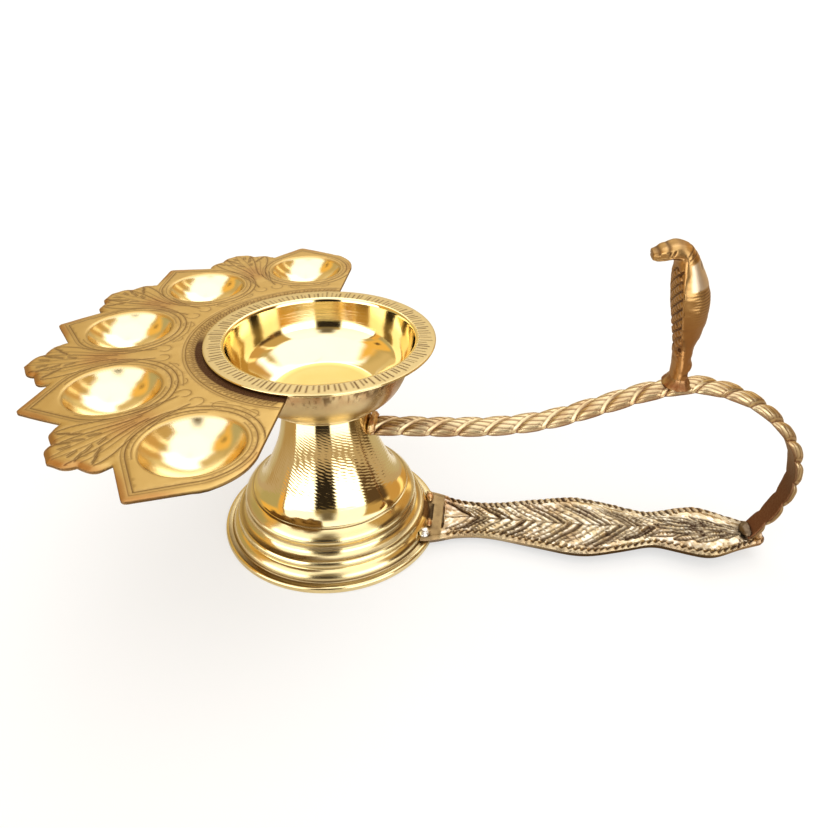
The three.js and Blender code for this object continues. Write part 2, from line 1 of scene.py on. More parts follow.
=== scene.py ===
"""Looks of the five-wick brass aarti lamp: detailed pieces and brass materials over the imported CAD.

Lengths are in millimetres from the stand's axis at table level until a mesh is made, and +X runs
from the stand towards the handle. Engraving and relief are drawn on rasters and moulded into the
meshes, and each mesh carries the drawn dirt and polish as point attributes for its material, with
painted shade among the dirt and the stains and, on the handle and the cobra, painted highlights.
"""

import math

import bpy
import numpy as np
from mathutils import Matrix, Vector
from mathutils.geometry import delaunay_2d_cdt


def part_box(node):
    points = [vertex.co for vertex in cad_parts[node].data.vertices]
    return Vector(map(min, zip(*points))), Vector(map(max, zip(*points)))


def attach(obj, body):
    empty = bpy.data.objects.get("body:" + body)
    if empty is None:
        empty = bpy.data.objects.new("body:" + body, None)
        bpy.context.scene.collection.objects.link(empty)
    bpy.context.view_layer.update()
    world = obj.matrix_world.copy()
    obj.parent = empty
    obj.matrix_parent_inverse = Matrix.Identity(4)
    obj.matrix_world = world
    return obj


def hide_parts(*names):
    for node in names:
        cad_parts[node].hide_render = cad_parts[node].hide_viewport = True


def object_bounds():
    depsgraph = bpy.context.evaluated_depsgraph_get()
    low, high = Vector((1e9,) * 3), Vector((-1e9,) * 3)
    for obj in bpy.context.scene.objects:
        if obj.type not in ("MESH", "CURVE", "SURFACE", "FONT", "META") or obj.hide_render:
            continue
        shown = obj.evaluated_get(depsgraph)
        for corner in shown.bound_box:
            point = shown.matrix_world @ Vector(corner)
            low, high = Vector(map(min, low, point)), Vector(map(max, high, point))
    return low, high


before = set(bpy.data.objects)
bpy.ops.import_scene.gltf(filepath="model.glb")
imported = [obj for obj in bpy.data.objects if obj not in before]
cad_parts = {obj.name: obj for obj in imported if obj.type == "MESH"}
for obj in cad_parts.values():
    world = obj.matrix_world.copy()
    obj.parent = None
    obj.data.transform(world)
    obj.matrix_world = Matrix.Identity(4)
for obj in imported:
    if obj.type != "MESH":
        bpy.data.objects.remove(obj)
CAD_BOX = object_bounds()

MM = 0.001
STAND_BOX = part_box("stand")
AXIS_X = (STAND_BOX[0].x + STAND_BOX[1].x) / 2 / MM
NEAR_END = CAD_BOX[0].x / MM - AXIS_X + 0.01
FAR_END = CAD_BOX[1].x / MM - AXIS_X - 0.01

# Sizes of the lamp, as in the CAD
STAND_H = 60.3
STAND_WALL = 1.9
STUD_HOLE_R = 3.3
FOOT_R = 43.75
FOOT_LIP = 3.0
FOOT_REST = 3.4
GROOVE = 3.1
OVOLO_R = 37.8
OVOLO_TOP = 7.0
BEAD_TOP = 9.8
COVE_R = 33.8
COVE_TOP = 13.3
TORUS_R = 34.0
TORUS_TOP = 20.4
BELL_R = 30.6
TURN_R = 23.2
TURN_Z = 31.0
NECK_R = 16.2
NECK_CAP = 3.0
GAP = 0.3
BOWL_H = 23.4
BOWL_BASE_R = 23.0
BOWL_INSIDE_H = 21.0
RECESS_R = 7.3
WALL_TOP_R = 34.9
RIM_R = 41.0
RIM_WIDTH = 6.85
RIM_THICK = 0.9
PLATE_T = 1.0
PLATE_TOP = STAND_H + GAP + BOWL_H - RIM_THICK - 0.3
PETALS = 5
PETAL_STEP = math.radians(36.2)
PETAL_HALF = math.radians(8.6)
FAN_R = 98.8
SHOULDER_DROP = 10.4
TIP_ROUND = 1.6
PLATE_END_X = -2.0
PLATE_CORNER_Y = 71.0
PLATE_CORNER_RISE = 9.5
CUP_R = 14.9
CUP_DEPTH = 8.5
CUP_WALL = 1.1
CUP_CENTRE_R = 71.0
HANDLE_LENGTH = 126.6
HANDLE_T = 2.95
HANDLE_ROOT_Z = 5.35
HANDLE_RISE = 3.6
HANDLE_SIDES = [
    (-6, 15.4), (0.25, 13.8), (8.25, 11.2), (21.25, 10.2), (40.25, 14), (57.25, 17),
    (73.25, 13.2), (85.25, 9.7), (95.25, 12.1), (106.25, 14.3), (117.25, 9.3), (126.6, 5.6),
]
TIP_X = FOOT_R + HANDLE_LENGTH
BORDER_W = 2.6
ARM_ROOT_Z = STAND_H - 12.6
# The arm's middle: share of the way to the loop and rise, then X from the tip and share of the height
ARM_RUN = [
    (0.11, 1), (0.26, 2), (0.41, 4), (0.552, 8.4), (0.686, 15.6), (0.812, 22.6), (0.922, 26.2),
]
ARM_LOOP = [
    (-29.5, 0.985), (-18, 0.923), (-7, 0.8), (2.8, 0.612), (6.2, 0.4), (4, 0.205), (-1, 0.03),
    (-5, -0.08),
]
ARM_HALF = (5.2, 4.5)
ARM_T = (4.8, 3.7)
STRAND_PITCH = 10.6  # the photograph's; the CAD's strands are 12.5 long
STRAND_LEAN = 1.15
COBRA_BACK = 45.15
# Front and back of the cobra as (x, z), half width and the widest place's share of the depth
COBRA = [
    (-2.5, -0.6, 3.4, -0.6, 4.7, 0.5),
    (-2.9, 7.4, 3.2, 8.4, 4.9, 0.5),
    (-3.4, 15.4, 3, 15.6, 5.8, 0.4),
    (-3.9, 20.4, 4, 20, 7.6, 0.2),
    (-4.5, 25.4, 4.6, 25.4, 9.3, 0.1),
    (-5.5, 30.9, 4.5, 31.3, 10, 0.08),
    (-6.7, 35.9, 3.1, 37, 9.7, 0.1),
    (-7.8, 40.2, 0.5, 42.3, 8.4, 0.2),
    (-8.8, 43.6, -2, 46.4, 6.8, 0.35),
    (-9.8, 45.2, -5, 49.8, 5.9, 0.5),
    (-11.2, 45.6, -8.8, 51, 5.5, 0.5),
    (-13, 45.6, -12.6, 50, 4.5, 0.5),
    (-15.2, 45.4, -15.6, 48.4, 3.3, 0.5),
    (-16.6, 46, -16.9, 47.8, 2.1, 0.5),
]

# Sizes of the looks alone
CHATTER_PITCH = 1.18
CHATTER_DEPTH = 0.011
RIM_TICKS = 132
TICK_DEPTH = 0.16
BRAID = (5.0, 3.3)
HATCH_PITCH = 0.95
PLATE_AREA = (-103, 2, -98, 98)  # x0, x1, y0 and y1 of what is drawn over the plate
CUP_ANGLES = [(i - (PETALS - 1) / 2) * PETAL_STEP for i in range(PETALS)]
LEAF_ANGLES = [(i - (PETALS - 2) / 2) * PETAL_STEP for i in range(PETALS - 1)]


# ---------------------------------------------------------------- small maths
def smooth(x, lo, hi):
    """0 at lo, 1 at hi, and a soft step between them; lo may be the larger one."""
    t = np.clip((np.asarray(x, float) - lo) / (hi - lo), 0, 1)
    return t * t * (3 - 2 * t)


def near(x, centre, width):
    """A hump of height 1 about centre."""
    return np.exp(-(((x - centre) / width) ** 2))


def share_of(x):
    """The value kept between 0 and 1."""
    return np.clip(x, 0, 1)


def unit(v):
    """Vectors along the last axis brought to length 1."""
    return v / (np.linalg.norm(v, axis=-1, keepdims=True) + 1e-9)


def leftwards(v):
    """Vectors of the plane turned a quarter turn to the left."""
    return np.stack([-v[..., 1], v[..., 0]], axis=-1)


def blended(grid, i, j, fu, fv):
    """A grid's values at shares fu and fv of the way from cell (i, j) to the next ones, wrapped."""
    i1 = (i + 1) % grid.shape[0]
    j1 = (j + 1) % grid.shape[1]
    low = grid[i, j] * (1 - fu) + grid[i1, j] * fu
    high = grid[i, j1] * (1 - fu) + grid[i1, j1] * fu
    return low * (1 - fv) + high * fv


def noise(x, y, seed, scale):
    """Smooth noise from -1 to 1 over the plane, with features about scale wide."""
    cells = np.random.default_rng(seed).uniform(-1, 1, (64, 64))
    u = np.asarray(x, float) / scale
    v = np.asarray(y, float) / scale
    i = np.floor(u).astype(int)
    j = np.floor(v).astype(int)
    return blended(cells, i % 64, j % 64, smooth(u - i, 0, 1), smooth(v - j, 0, 1))


def through(points, ts, tangents):
    """The curve through all points but the first and last, at parameters ts from 0 to 1."""
    spans = len(points) - 3
    ts = np.atleast_1d(ts)
    i = np.minimum((ts * spans).astype(int), spans - 1)
    w = (ts * spans - i)[:, None]
    p0, p1, p2, p3 = (points[i + k] for k in range(4))
    v1, v2 = tangents(p0, p1, p2, p3)
    bend = -3 * p1 + 3 * p2 - 2 * v1 - v2
    twist = 2 * p1 - 2 * p2 + v1 + v2
    return p1 + v1 * w + bend * w**2 + twist * w**3


def centripetal(points, ts):
    """The CAD's smooth curve through points, at parameters ts from 0 to 1."""
    p = np.asarray(points, float)

    def tangents(p0, p1, p2, p3):
        steps = (p1 - p0, p2 - p1, p3 - p2)
        d0, d1, d2 = (np.sqrt(np.linalg.norm(step, axis=1))[:, None] for step in steps)
        v1 = ((p1 - p0) / d0 - (p2 - p0) / (d0 + d1) + (p2 - p1) / d1) * d1
        v2 = ((p2 - p1) / d1 - (p3 - p1) / (d1 + d2) + (p3 - p2) / d2) * d1
        return v1, v2

    return through(np.vstack([2 * p[0] - p[1], p, 2 * p[-1] - p[-2]]), ts, tangents)


def uniform_spline(points, ts):
    """The CAD's plain spline through points, at parameters ts from 0 to 1."""
    p = np.vstack([points[0], points, points[-1]])
    return through(p, ts, lambda p0, p1, p2, p3: ((p2 - p0) / 2, (p3 - p1) / 2))


def bezier(points, steps):
    """Places along the Bezier curve of two, three or four points."""
    t = np.linspace(0, 1, steps + 1)[:, None]
    n = len(points) - 1
    weights = [math.comb(n, k) * (1 - t) ** (n - k) * t**k for k in range(n + 1)]
    return sum(weight * np.asarray(point, float) for weight, point in zip(weights, points))


def profile(start, *runs):
    """Parts of a path of (r, z): each run is its steps and the curve's points after the last one."""
    parts = [np.array([start], float)]
    for steps, *points in runs:
        parts.append(bezier([parts[-1][-1], *points], steps)[1:])
    return parts


def spaced(line, step):
    """Points along a polyline, about step apart, both ends kept."""
    line = np.asarray(line, float)
    keep = np.r_[True, np.linalg.norm(np.diff(line, axis=0), axis=1) > 1e-9]
    line = line[keep]
    run = np.r_[0, np.cumsum(np.linalg.norm(np.diff(line, axis=0), axis=1))]
    count = max(2, int(math.ceil(run[-1] / step)) + 1)
    at = np.linspace(0, run[-1], count)
    return np.stack([np.interp(at, run, line[:, k]) for k in range(line.shape[1])], axis=1)


# ---------------------------------------------------------------- meshes
def mesh_object(name, points, faces, fields):
    """A smooth mesh from points and a list of index arrays, each with one number of corners."""
    data = bpy.data.meshes.new(name)
    places = points.copy()
    places[:, 0] = np.clip(places[:, 0], NEAR_END, FAR_END)
    places = (places + [AXIS_X, 0, 0]) * MM
    data.vertices.add(len(places))
    data.vertices.foreach_set("co", places.astype(np.float32).ravel())
    loops = np.concatenate([f.ravel() for f in faces]).astype(np.int32)
    sizes = np.concatenate([np.full(len(f), f.shape[1]) for f in faces])
    data.loops.add(len(loops))
    data.loops.foreach_set("vertex_index", loops)
    data.polygons.add(len(sizes))
    starts = np.r_[0, np.cumsum(sizes)[:-1]].astype(np.int32)
    data.polygons.foreach_set("loop_start", starts)
    data.polygons.foreach_set("use_smooth", np.ones(len(sizes), bool))
    data.update(calc_edges=True)
    data.validate()
    for key, values in fields.items():
        layer = data.attributes.new(name=key, type="FLOAT", domain="POINT")
        layer.data.foreach_set("value", values.astype(np.float32))
    piece = bpy.data.objects.new(name, data)
    bpy.context.scene.collection.objects.link(piece)
    return piece


def install(piece, material, slot, *nodes):
    """Gives a piece its material, its place on the lamp and the CAD nodes that it stands for."""
    piece.data.materials.append(material)
    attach(piece, "root")
    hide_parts(*nodes)
    return piece


def ring_faces(rings, count, closed_path=False):
    """Quads between successive rings of count points each."""
    r = np.arange(rings if closed_path else rings - 1)[:, None]
    i = np.arange(count)[None, :]
    a = (r % rings) * count + i
    b = (r % rings) * count + (i + 1) % count
    c = ((r + 1) % rings) * count + (i + 1) % count
    d = ((r + 1) % rings) * count + i
    return np.stack([a, b, c, d], axis=-1).reshape(-1, 4)


def loft(name, points, fields, flip=False):
    """A closed body from rings of points, each end a fan about its middle.

    A field is its grid and its values at the two middles. Rings that run the other way round
    need flip, so that the faces look outwards.
    """
    rings, count = points.shape[:2]
    everything = np.vstack([points.reshape(-1, 3), points[0].mean(0), points[-1].mean(0)])
    i = np.arange(count)
    j = (i + 1) % count
    base = (rings - 1) * count
    start = np.stack([j, i, np.full(count, rings * count)], axis=1)
    end = np.stack([base + i, base + j, np.full(count, rings * count + 1)], axis=1)
    faces = [ring_faces(rings, count), start, end]
    if flip:
        faces = [f[:, ::-1] for f in faces]
    values = {key: np.r_[grid.ravel(), first, last] for key, (grid, first, last) in fields.items()}
    return mesh_object(name, everything, faces, values)


def lathe(name, path, segments, fields, bend):
    """A body turned about Z from a path of (r, z), closed in itself or running from axis to axis."""
    angles = np.linspace(0, 2 * math.pi, segments, endpoint=False)
    shape = (len(path), segments)
    r, z = (np.repeat(c, segments).reshape(shape) for c in path.T)
    a = np.broadcast_to(angles, shape)
    grids = {key: np.repeat(v, segments).reshape(shape) for key, v in fields.items()}
    z = bend(r, z, a, grids)
    points = np.stack([r * np.cos(a), r * np.sin(a), z], axis=-1)
    if path[0, 0] == 0:
        ends = {key: (v[1:-1], v[0, 0], v[-1, 0]) for key, v in grids.items()}
        return loft(name, points[1:-1], ends)
    faces = ring_faces(len(path), segments, closed_path=True)
    return mesh_object(name, points.reshape(-1, 3), [faces], {k: v.ravel() for k, v in grids.items()})


class Relief:
    """Heights and dirt over a rectangle, drawn with curves and read back anywhere on it."""

    def __init__(self, x0, x1, y0, y1, step):
        self.origin = np.array([x0, y0])
        self.step = step
        self.shape = (int((x1 - x0) / step) + 2, int((y1 - y0) / step) + 2)
        self.height = np.zeros(self.shape)
        self.dirt = np.zeros(self.shape)

    def distance(self, lines, reach):
        """Distance of every cell to the nearest of the lines, up to reach."""
        best = np.full(self.shape, reach, float)
        k = int(math.ceil(reach / self.step))
        about = np.arange(-k, k + 1)
        di, dj = (w.ravel() for w in np.meshgrid(about, about, indexing="ij"))
        samples = np.vstack([spaced(line, self.step) for line in lines])
        for block in np.array_split(samples, max(1, len(samples) // 4000)):
            base = np.round((block - self.origin) / self.step).astype(int)
            i = base[:, :1] + di
            j = base[:, 1:] + dj
            inside = (i >= 0) & (j >= 0) & (i < self.shape[0]) & (j < self.shape[1])
            dx = self.origin[0] + i * self.step - block[:, :1]
            dy = self.origin[1] + j * self.step - block[:, 1:]
            np.minimum.at(best, (i[inside], j[inside]), np.hypot(dx, dy)[inside])
        return best

    def groove(self, lines, depth, width, dirt=1.0, lip=0.3):
        """Cuts V-shaped grooves with a slight lip, and darkens their bottoms."""
        far = self.distance(lines, 4 * width)
        cut = np.exp(-((far / width) ** 2))
        raised = np.exp(-(((far - 2 * width) / (0.8 * width)) ** 2))
        self.height += depth * (lip * raised - cut)
        self.dirt = np.maximum(self.dirt, dirt * np.exp(-((far / (1.2 * width)) ** 2)))

    def read(self, x, y):
        """Height and dirt at given places."""
        u = np.clip((x - self.origin[0]) / self.step, 0, self.shape[0] - 1.001)
        v = np.clip((y - self.origin[1]) / self.step, 0, self.shape[1] - 1.001)
        i = u.astype(int)
        j = v.astype(int)
        return [blended(grid, i, j, u - i, v - j) for grid in (self.height, self.dirt)]


# ---------------------------------------------------------------- materials
class Value:
    """What a shader works out at each point; +, - and * on it make math nodes."""

    def __init__(self, tree, socket):
        self.tree = tree
        self.socket = socket

    def node(self, kind, settings=None, output=0, **inputs):
        """A node that has this value as its first input."""
        return node(self.tree, kind, settings, output, i0=self, **inputs)

    def math(self, operation, *others, clamp=False):
        inputs = {f"i{k}": other for k, other in enumerate(others, 1)}
        return self.node("ShaderNodeMath", {"operation": operation, "use_clamp": clamp}, **inputs)

    def vector(self, operation, output=0, **inputs):
        return self.node("ShaderNodeVectorMath", {"operation": operation}, output, **inputs)

    def __add__(self, other):
        return self.math("ADD", other)

    def __sub__(self, other):
        return self.math("SUBTRACT", other)

    def __mul__(self, other):
        return self.math("MULTIPLY", other)

    def step(self, lo, hi):
        """0 at lo, 1 at hi, and a soft step between them."""
        settings = {"interpolation_type": "SMOOTHSTEP"}
        return self.node("ShaderNodeMapRange", settings, i1=lo, i2=hi, i3=0.0, i4=1.0)

    def parts(self):
        """X, Y and Z of this vector."""
        return [self.node("ShaderNodeSeparateXYZ", output=axis) for axis in range(3)]

    def clouds(self, scale, detail, rough=0.55):
        """Noise over this place."""
        inputs = {"Vector": self, "Scale": scale, "Detail": detail, "Roughness": rough}
        return node(self.tree, "ShaderNodeTexNoise", **inputs)

    def ramp(self, *stops):
        """A level that runs through (position, level) stops."""
        level = self.node("ShaderNodeValToRGB")
        band = level.socket.node.color_ramp
        while len(band.elements) < len(stops):
            band.elements.new(0.5)
        for element, (place, grey) in zip(band.elements, stops):
            element.position = place
            element.color = (grey, grey, grey, 1)
        return level

    def mix(self, a, b):
        """The colour a where this value is 0, and b where it is 1."""
        a, b = ((*c, 1) if isinstance(c, tuple) else c for c in (a, b))
        return self.node("ShaderNodeMix", {"data_type": "RGBA"}, 2, i6=a, i7=b)


def node(tree, kind, settings=None, output=0, **inputs):
    """An output of a new node; inputs are set or linked, by name or as i0, i1 and so on."""
    made = tree.nodes.new(kind)
    for key, value in (settings or {}).items():
        setattr(made, key, value)
    for key, value in inputs.items():
        socket = made.inputs[int(key[1:]) if key[1:].isdigit() else key]
        if isinstance(value, Value):
            tree.links.new(value.socket, socket)
        else:
            socket.default_value = value
    return Value(tree, made.outputs[output])


def new_material(name):
    material = bpy.data.materials.new(name)
    material.use_nodes = True
    tree = material.node_tree
    return material, tree, tree.nodes["Principled BSDF"]


def new_metal(name):
    """A metal that still lacks its looks, with places in millimetres from the lamp's origin."""
    material, tree, shader = new_material(name)
    shader.inputs["Metallic"].default_value = 1.0
    place = node(tree, "ShaderNodeTexCoord", output="Object").vector("SCALE", Scale=1000.0)
    return material, tree, shader, place


def give_looks(tree, shader, colour, gloss, **bump):
    """Links a metal's colour, its roughness and the bump of a height."""
    normal = node(tree, "ShaderNodeBump", **bump)
    for key, value in (("Base Color", colour), ("Roughness", gloss), ("Normal", normal)):
        tree.links.new(value.socket, shader.inputs[key])


def chatter(x, y, z):
    """Fine slanting marks that the turning tool left on the neck."""
    around = y.math("ARCTAN2", x) * 46.0
    drift = (z * 0.9).math("SINE") * 0.8
    wave = (around + z * (2 * math.pi / CHATTER_PITCH) + drift).math("SINE")
    where = (z * (1 / STAND_H)).ramp((0.40, 0), (0.50, 1), (0.78, 0.8), (0.9, 0))
    return wave * where * 1.25


# Orange-brown of stains and flux, which also serves as painted shade on the plate, the arm and the
# cobra
STAIN_AND_SHADE = (0.38, 0.15, 0.045)
BUFFED = (0.92, 0.79, 0.50)
SATIN = (0.61, 0.48, 0.24)
# Colour of painted highlights: the handle's glints and band, and the cobra's flat facet
PAINTED_HIGHLIGHT = (0.97, 0.91, 0.78)


def brass(name, base, deep, darkened, rough, rough_range, bump, grain=2.2, turned=False, patches=0.06):
    """Brass with drifting colour, uneven gloss and soft scratches, and with what the mesh says of
    dirt and painted shade, stain and painted shade, polish, satin and painted highlights."""
    material, tree, shader, place = new_metal(name)
    dirt, stain, polish, satin, painted_highlight = (
        node(tree, "ShaderNodeAttribute", {"attribute_name": key}, "Fac")
        for key in ("dirt", "stain", "polish", "satin", "painted_highlight")
    )
    drift = place.clouds(patches, 4.0)
    fine = place.clouds(grain, 5.0, 0.6)
    tone = drift.ramp((0.35, 0), (0.7, 1)).mix(base, deep)
    for where, colour in ((polish, BUFFED), (satin, SATIN), (painted_highlight, PAINTED_HIGHLIGHT)):
        tone = where.mix(tone, colour)
    stained_and_shaded = stain * (fine * 0.6 + 0.5)
    tone = stained_and_shaded.math("MULTIPLY", 0.95, clamp=True).mix(tone, STAIN_AND_SHADE)
    soiled_and_shaded = dirt.math("MULTIPLY", fine * 0.7 + 0.62, clamp=True)
    gloss = drift * rough_range + (rough - rough_range / 2)
    gloss = (gloss + soiled_and_shaded * 0.3 + satin * 0.28 + painted_highlight * 0.2) * (polish * -0.75 + 1.0)
    height = fine
    if turned:
        x, y, z = place.parts()
        x = x - AXIS_X
        lines = node(tree, "ShaderNodeCombineXYZ", i0=(x * x + y * y).math("SQRT"), i1=z)
        height = lines.clouds(3.2, 3.0, 0.7) + fine * 0.25 + chatter(x, y, z)
    colour = soiled_and_shaded.mix(tone, darkened)
    give_looks(tree, shader, colour, gloss, Strength=bump, Distance=0.00004, Height=height)
    return material


BRASS = {
    "polished": brass("polished_brass", (0.89, 0.75, 0.43), (0.87, 0.71, 0.37), (0.14, 0.07, 0.025),
                      0.07, 0.04, 0.25, turned=True),
    "engraved": brass("engraved_brass", (0.59, 0.405, 0.15), (0.54, 0.36, 0.12), (0.065, 0.024, 0.011),
                      0.38, 0.1, 0.6, grain=3.0),
    "cast": brass("cast_brass", (0.58, 0.47, 0.31), (0.45, 0.33, 0.18), (0.035, 0.015, 0.008),
                  0.22, 0.12, 0.6, grain=1.6),
    "rope": brass("rope_brass", (0.72, 0.60, 0.37), (0.62, 0.48, 0.25), (0.20, 0.075, 0.035),
                  0.34, 0.1, 0.4, grain=1.8),
    "cobra": brass("cobra_brass", (0.53, 0.33, 0.13), (0.44, 0.25, 0.09), (0.07, 0.025, 0.01),
                   0.32, 0.12, 0.5, grain=1.8),
    "braze": brass("braze", (0.66, 0.49, 0.24), (0.42, 0.17, 0.07), (0.06, 0.02, 0.015),
                   0.34, 0.2, 1.0, grain=1.2, patches=0.45),
}


def plain_metal(name, base, deep, rough):
    material, tree, shader, place = new_metal(name)
    fine = place.clouds(3.0, 4.0)
    colour = place.clouds(0.5, 4.0).mix(base, deep)
    gloss = fine * 0.2 + (rough - 0.1)
    give_looks(tree, shader, colour, gloss, Strength=0.3, Distance=0.00005, Height=fine)
    return material


# dark brown for the brazing lump at the arm's foot on the handle: burnt flux and painted shade
BURNT_AND_SHADED = plain_metal("braze_burnt_and_shaded", (0.24, 0.17, 0.10), (0.10, 0.07, 0.05), 0.4)
SOLDER = plain_metal("solder", (0.80, 0.77, 0.70), (0.62, 0.60, 0.56), 0.28)
ZINC = plain_metal("zinc_steel", (0.62, 0.63, 0.66), (0.52, 0.53, 0.57), 0.3)


# ---------------------------------------------------------------- stand and bowl
def stand_outside():
    """The stand's outside from the table to the top of the neck, as the CAD draws it."""
    groove = FOOT_R - GROOVE
    return np.vstack(profile(
        (FOOT_R - 0.9, 0),
        (8, (FOOT_R, 0.1), (FOOT_R, FOOT_LIP / 2)),
        (10, (FOOT_R, FOOT_LIP), (FOOT_R - 1.5, FOOT_LIP)),
        (1, (groove + 0.5, FOOT_LIP - 0.15)),
        (5, (groove + 0.1, FOOT_LIP - 0.2), (groove, FOOT_LIP + 0.5)),
        (14, (groove - 0.5, OVOLO_TOP - 1), (OVOLO_R + 0.2, OVOLO_TOP)),
        (12, (OVOLO_R + 0.6, (OVOLO_TOP + BEAD_TOP) / 2), (OVOLO_R - 0.4, BEAD_TOP)),
        (16, (COVE_R + 0.7, BEAD_TOP + 0.4), (COVE_R, COVE_TOP)),
        (5, (COVE_R - 0.2, COVE_TOP + 0.5), (TORUS_R - 0.8, COVE_TOP + 0.5)),
        (26, (TORUS_R + 2.2, COVE_TOP + 2.9), (BELL_R + 0.6, TORUS_TOP)),
        (4, (BELL_R + 0.1, TORUS_TOP + 0.05), (BELL_R, TORUS_TOP + 0.3)),
        (44, (TURN_R + 4, TORUS_TOP + 1.8), (TURN_R + 1.4, TURN_Z - 3.2), (TURN_R, TURN_Z)),
        (96, (TURN_R - 3.8, TURN_Z + 8), (NECK_R + 0.6, STAND_H - 14), (NECK_R, STAND_H)),
    ))


def stand_inside():
    """The stand's top, the stud's hole and the hollow, down to the foot's underside."""
    foot = FOOT_R - 0.9 - FOOT_REST
    neck = NECK_R - STAND_WALL
    turn = TURN_R - STAND_WALL
    cap = STAND_H - NECK_CAP
    torus = TORUS_R - 1.6 - STAND_WALL
    ovolo = OVOLO_R - STAND_WALL
    return np.vstack(profile(
        (NECK_R - 0.4, STAND_H),
        (1, (STUD_HOLE_R, STAND_H)),
        (1, (STUD_HOLE_R, cap)),
        (1, (neck - 0.5, cap)),
        (1, (neck, cap - 0.4)),
        (24, (neck + 0.6, STAND_H - 16), (turn - 3.6, TURN_Z + 7), (turn, TURN_Z - 1)),
        (12, (turn + 3.9, TORUS_TOP), (BELL_R - STAND_WALL - 1, TORUS_TOP - STAND_WALL)),
        (1, (torus, COVE_TOP - 1)),
        (10, (OVOLO_R - 4, OVOLO_TOP + 1.2), (ovolo, OVOLO_TOP - 1)),
        (1, (foot, 0)),
        (1, (foot + 0.3, 0)),
    ))


def build_stand():
    outside = stand_outside()
    inside = stand_inside()
    r, z = outside.T.copy()
    ripple = smooth(z, TORUS_TOP + 1, TORUS_TOP + 3) * smooth(z, STAND_H - 4, STAND_H - 12)
    strength = 0.35 + 0.65 * (noise(z, z * 0, 5, 4.0) * 0.5 + 0.5)
    phase = z * 2 * math.pi / CHATTER_PITCH + 1.5 * noise(z, z * 0, 6, 5.0)
    outside[:, 0] += CHATTER_DEPTH * ripple * strength * np.sin(phase)
    dirt = (
        0.95 * near(z, FOOT_LIP + 0.35, 0.5) * (r < FOOT_R - 1.2)
        + 0.55 * near(z, BEAD_TOP + 0.35, 0.35)
        + 0.8 * near(z, COVE_TOP + 0.15, 0.4)
        + 0.5 * near(z, TORUS_TOP + 0.15, 0.22)
        + 0.4 * near(z, STAND_H - 0.1, 0.6)
    )
    path = np.vstack([outside, inside])
    dull = 0.5 * smooth(path[:, 1], TORUS_TOP + 0.5, TORUS_TOP - 1.5)

    def bend(rr, zz, aa, grids):
        """Paints shade on the foot where the slit at the handle's root opens, and adds the streak that
        runs down from the arm.
        """
        turn = (aa + math.pi) % (2 * math.pi) - math.pi
        around = aa * 30
        slit = smooth(np.abs(turn - 0.04), 0.16, 0.12) * smooth(zz, 8.5, 7.5)
        grids["dirt"] = np.maximum(grids["dirt"], slit)
        grids["satin"] *= 0.75 + 0.4 * noise(around, zz * 2, 73, 6.0)
        streak = near(turn, 0.35, 0.05) * smooth(zz, STAND_H - 22, STAND_H - 14)
        grids["stain"] = share_of(0.8 * streak * smooth(zz, STAND_H - 9, STAND_H - 13))
        return zz

    fields = {"dirt": np.r_[share_of(dirt), np.full(len(inside), 0.35)], "satin": dull}
    piece = lathe("stand_turned", path, 288, fields, bend)
    return install(piece, BRASS["polished"], "polished_brass", "stand")


# Inside of the bowl from the rim's edge down to its flat bottom, as (radius, height below the rim)
INNER_WALL = [
    (34.6, 0), (34.2, -0.1), (33.85, -0.4), (33.6, -1.0), (33.4, -1.9), (32.9, -4.2), (32.2, -7.0),
    (31.3, -10), (30.2, -12.4), (28.6, -14.4), (26.2, -16.2), (22.8, -18.5), (19.6, -20.3),
    (16.6, -20.9), (13, -BOWL_INSIDE_H),
]


def bowl_path():
    """The bowl's outside, rim and inside in parts, and the dirt of each part."""
    base = STAND_H + GAP
    top = base + BOWL_H
    under = top - RIM_THICK
    outer = profile(
        (0, base + 1.0),
        (1, (RECESS_R, base + 1.0)),
        (1, (RECESS_R, base)),
        (1, (BOWL_BASE_R - 0.3, base)),
        (6, (BOWL_BASE_R + 0.5, base + 0.5), (BOWL_BASE_R + 0.1, base + 1.1)),
        (3, (BOWL_BASE_R + 0.2, base + 1.4), (BOWL_BASE_R + 0.9, base + 1.5)),
        (22, (BOWL_BASE_R + 6, base + 4.2), (WALL_TOP_R - 4.2, base + 9.4),
         (WALL_TOP_R - 0.7, under - 1)),
        (4, (WALL_TOP_R - 0.3, under - 0.1), (WALL_TOP_R + 0.5, under)),
        (1, (RIM_R - 0.3, under)),
        (4, (RIM_R, under), (RIM_R, under + RIM_THICK / 2)),
        (4, (RIM_R, top), (RIM_R - 0.4, top)),
    )
    inner = [
        spaced([(RIM_R - 0.4, top), (INNER_WALL[0][0], top)], 0.5)[1:],
        (centripetal(INNER_WALL, np.linspace(0, 1, 50)) + [0, top])[1:],
        spaced([(INNER_WALL[-1][0], top - BOWL_INSIDE_H), (0, top - BOWL_INSIDE_H)], 1.6)[1:],
    ]
    soiling = [0.3] * 4 + [0.1, 0.7, 0.05, 0.6, 0.3, 0.1] + [0.0] * 4
    parts = outer + inner
    return np.vstack(parts), np.repeat(soiling, [len(part) for part in parts]), sum(map(len, outer[:9]))


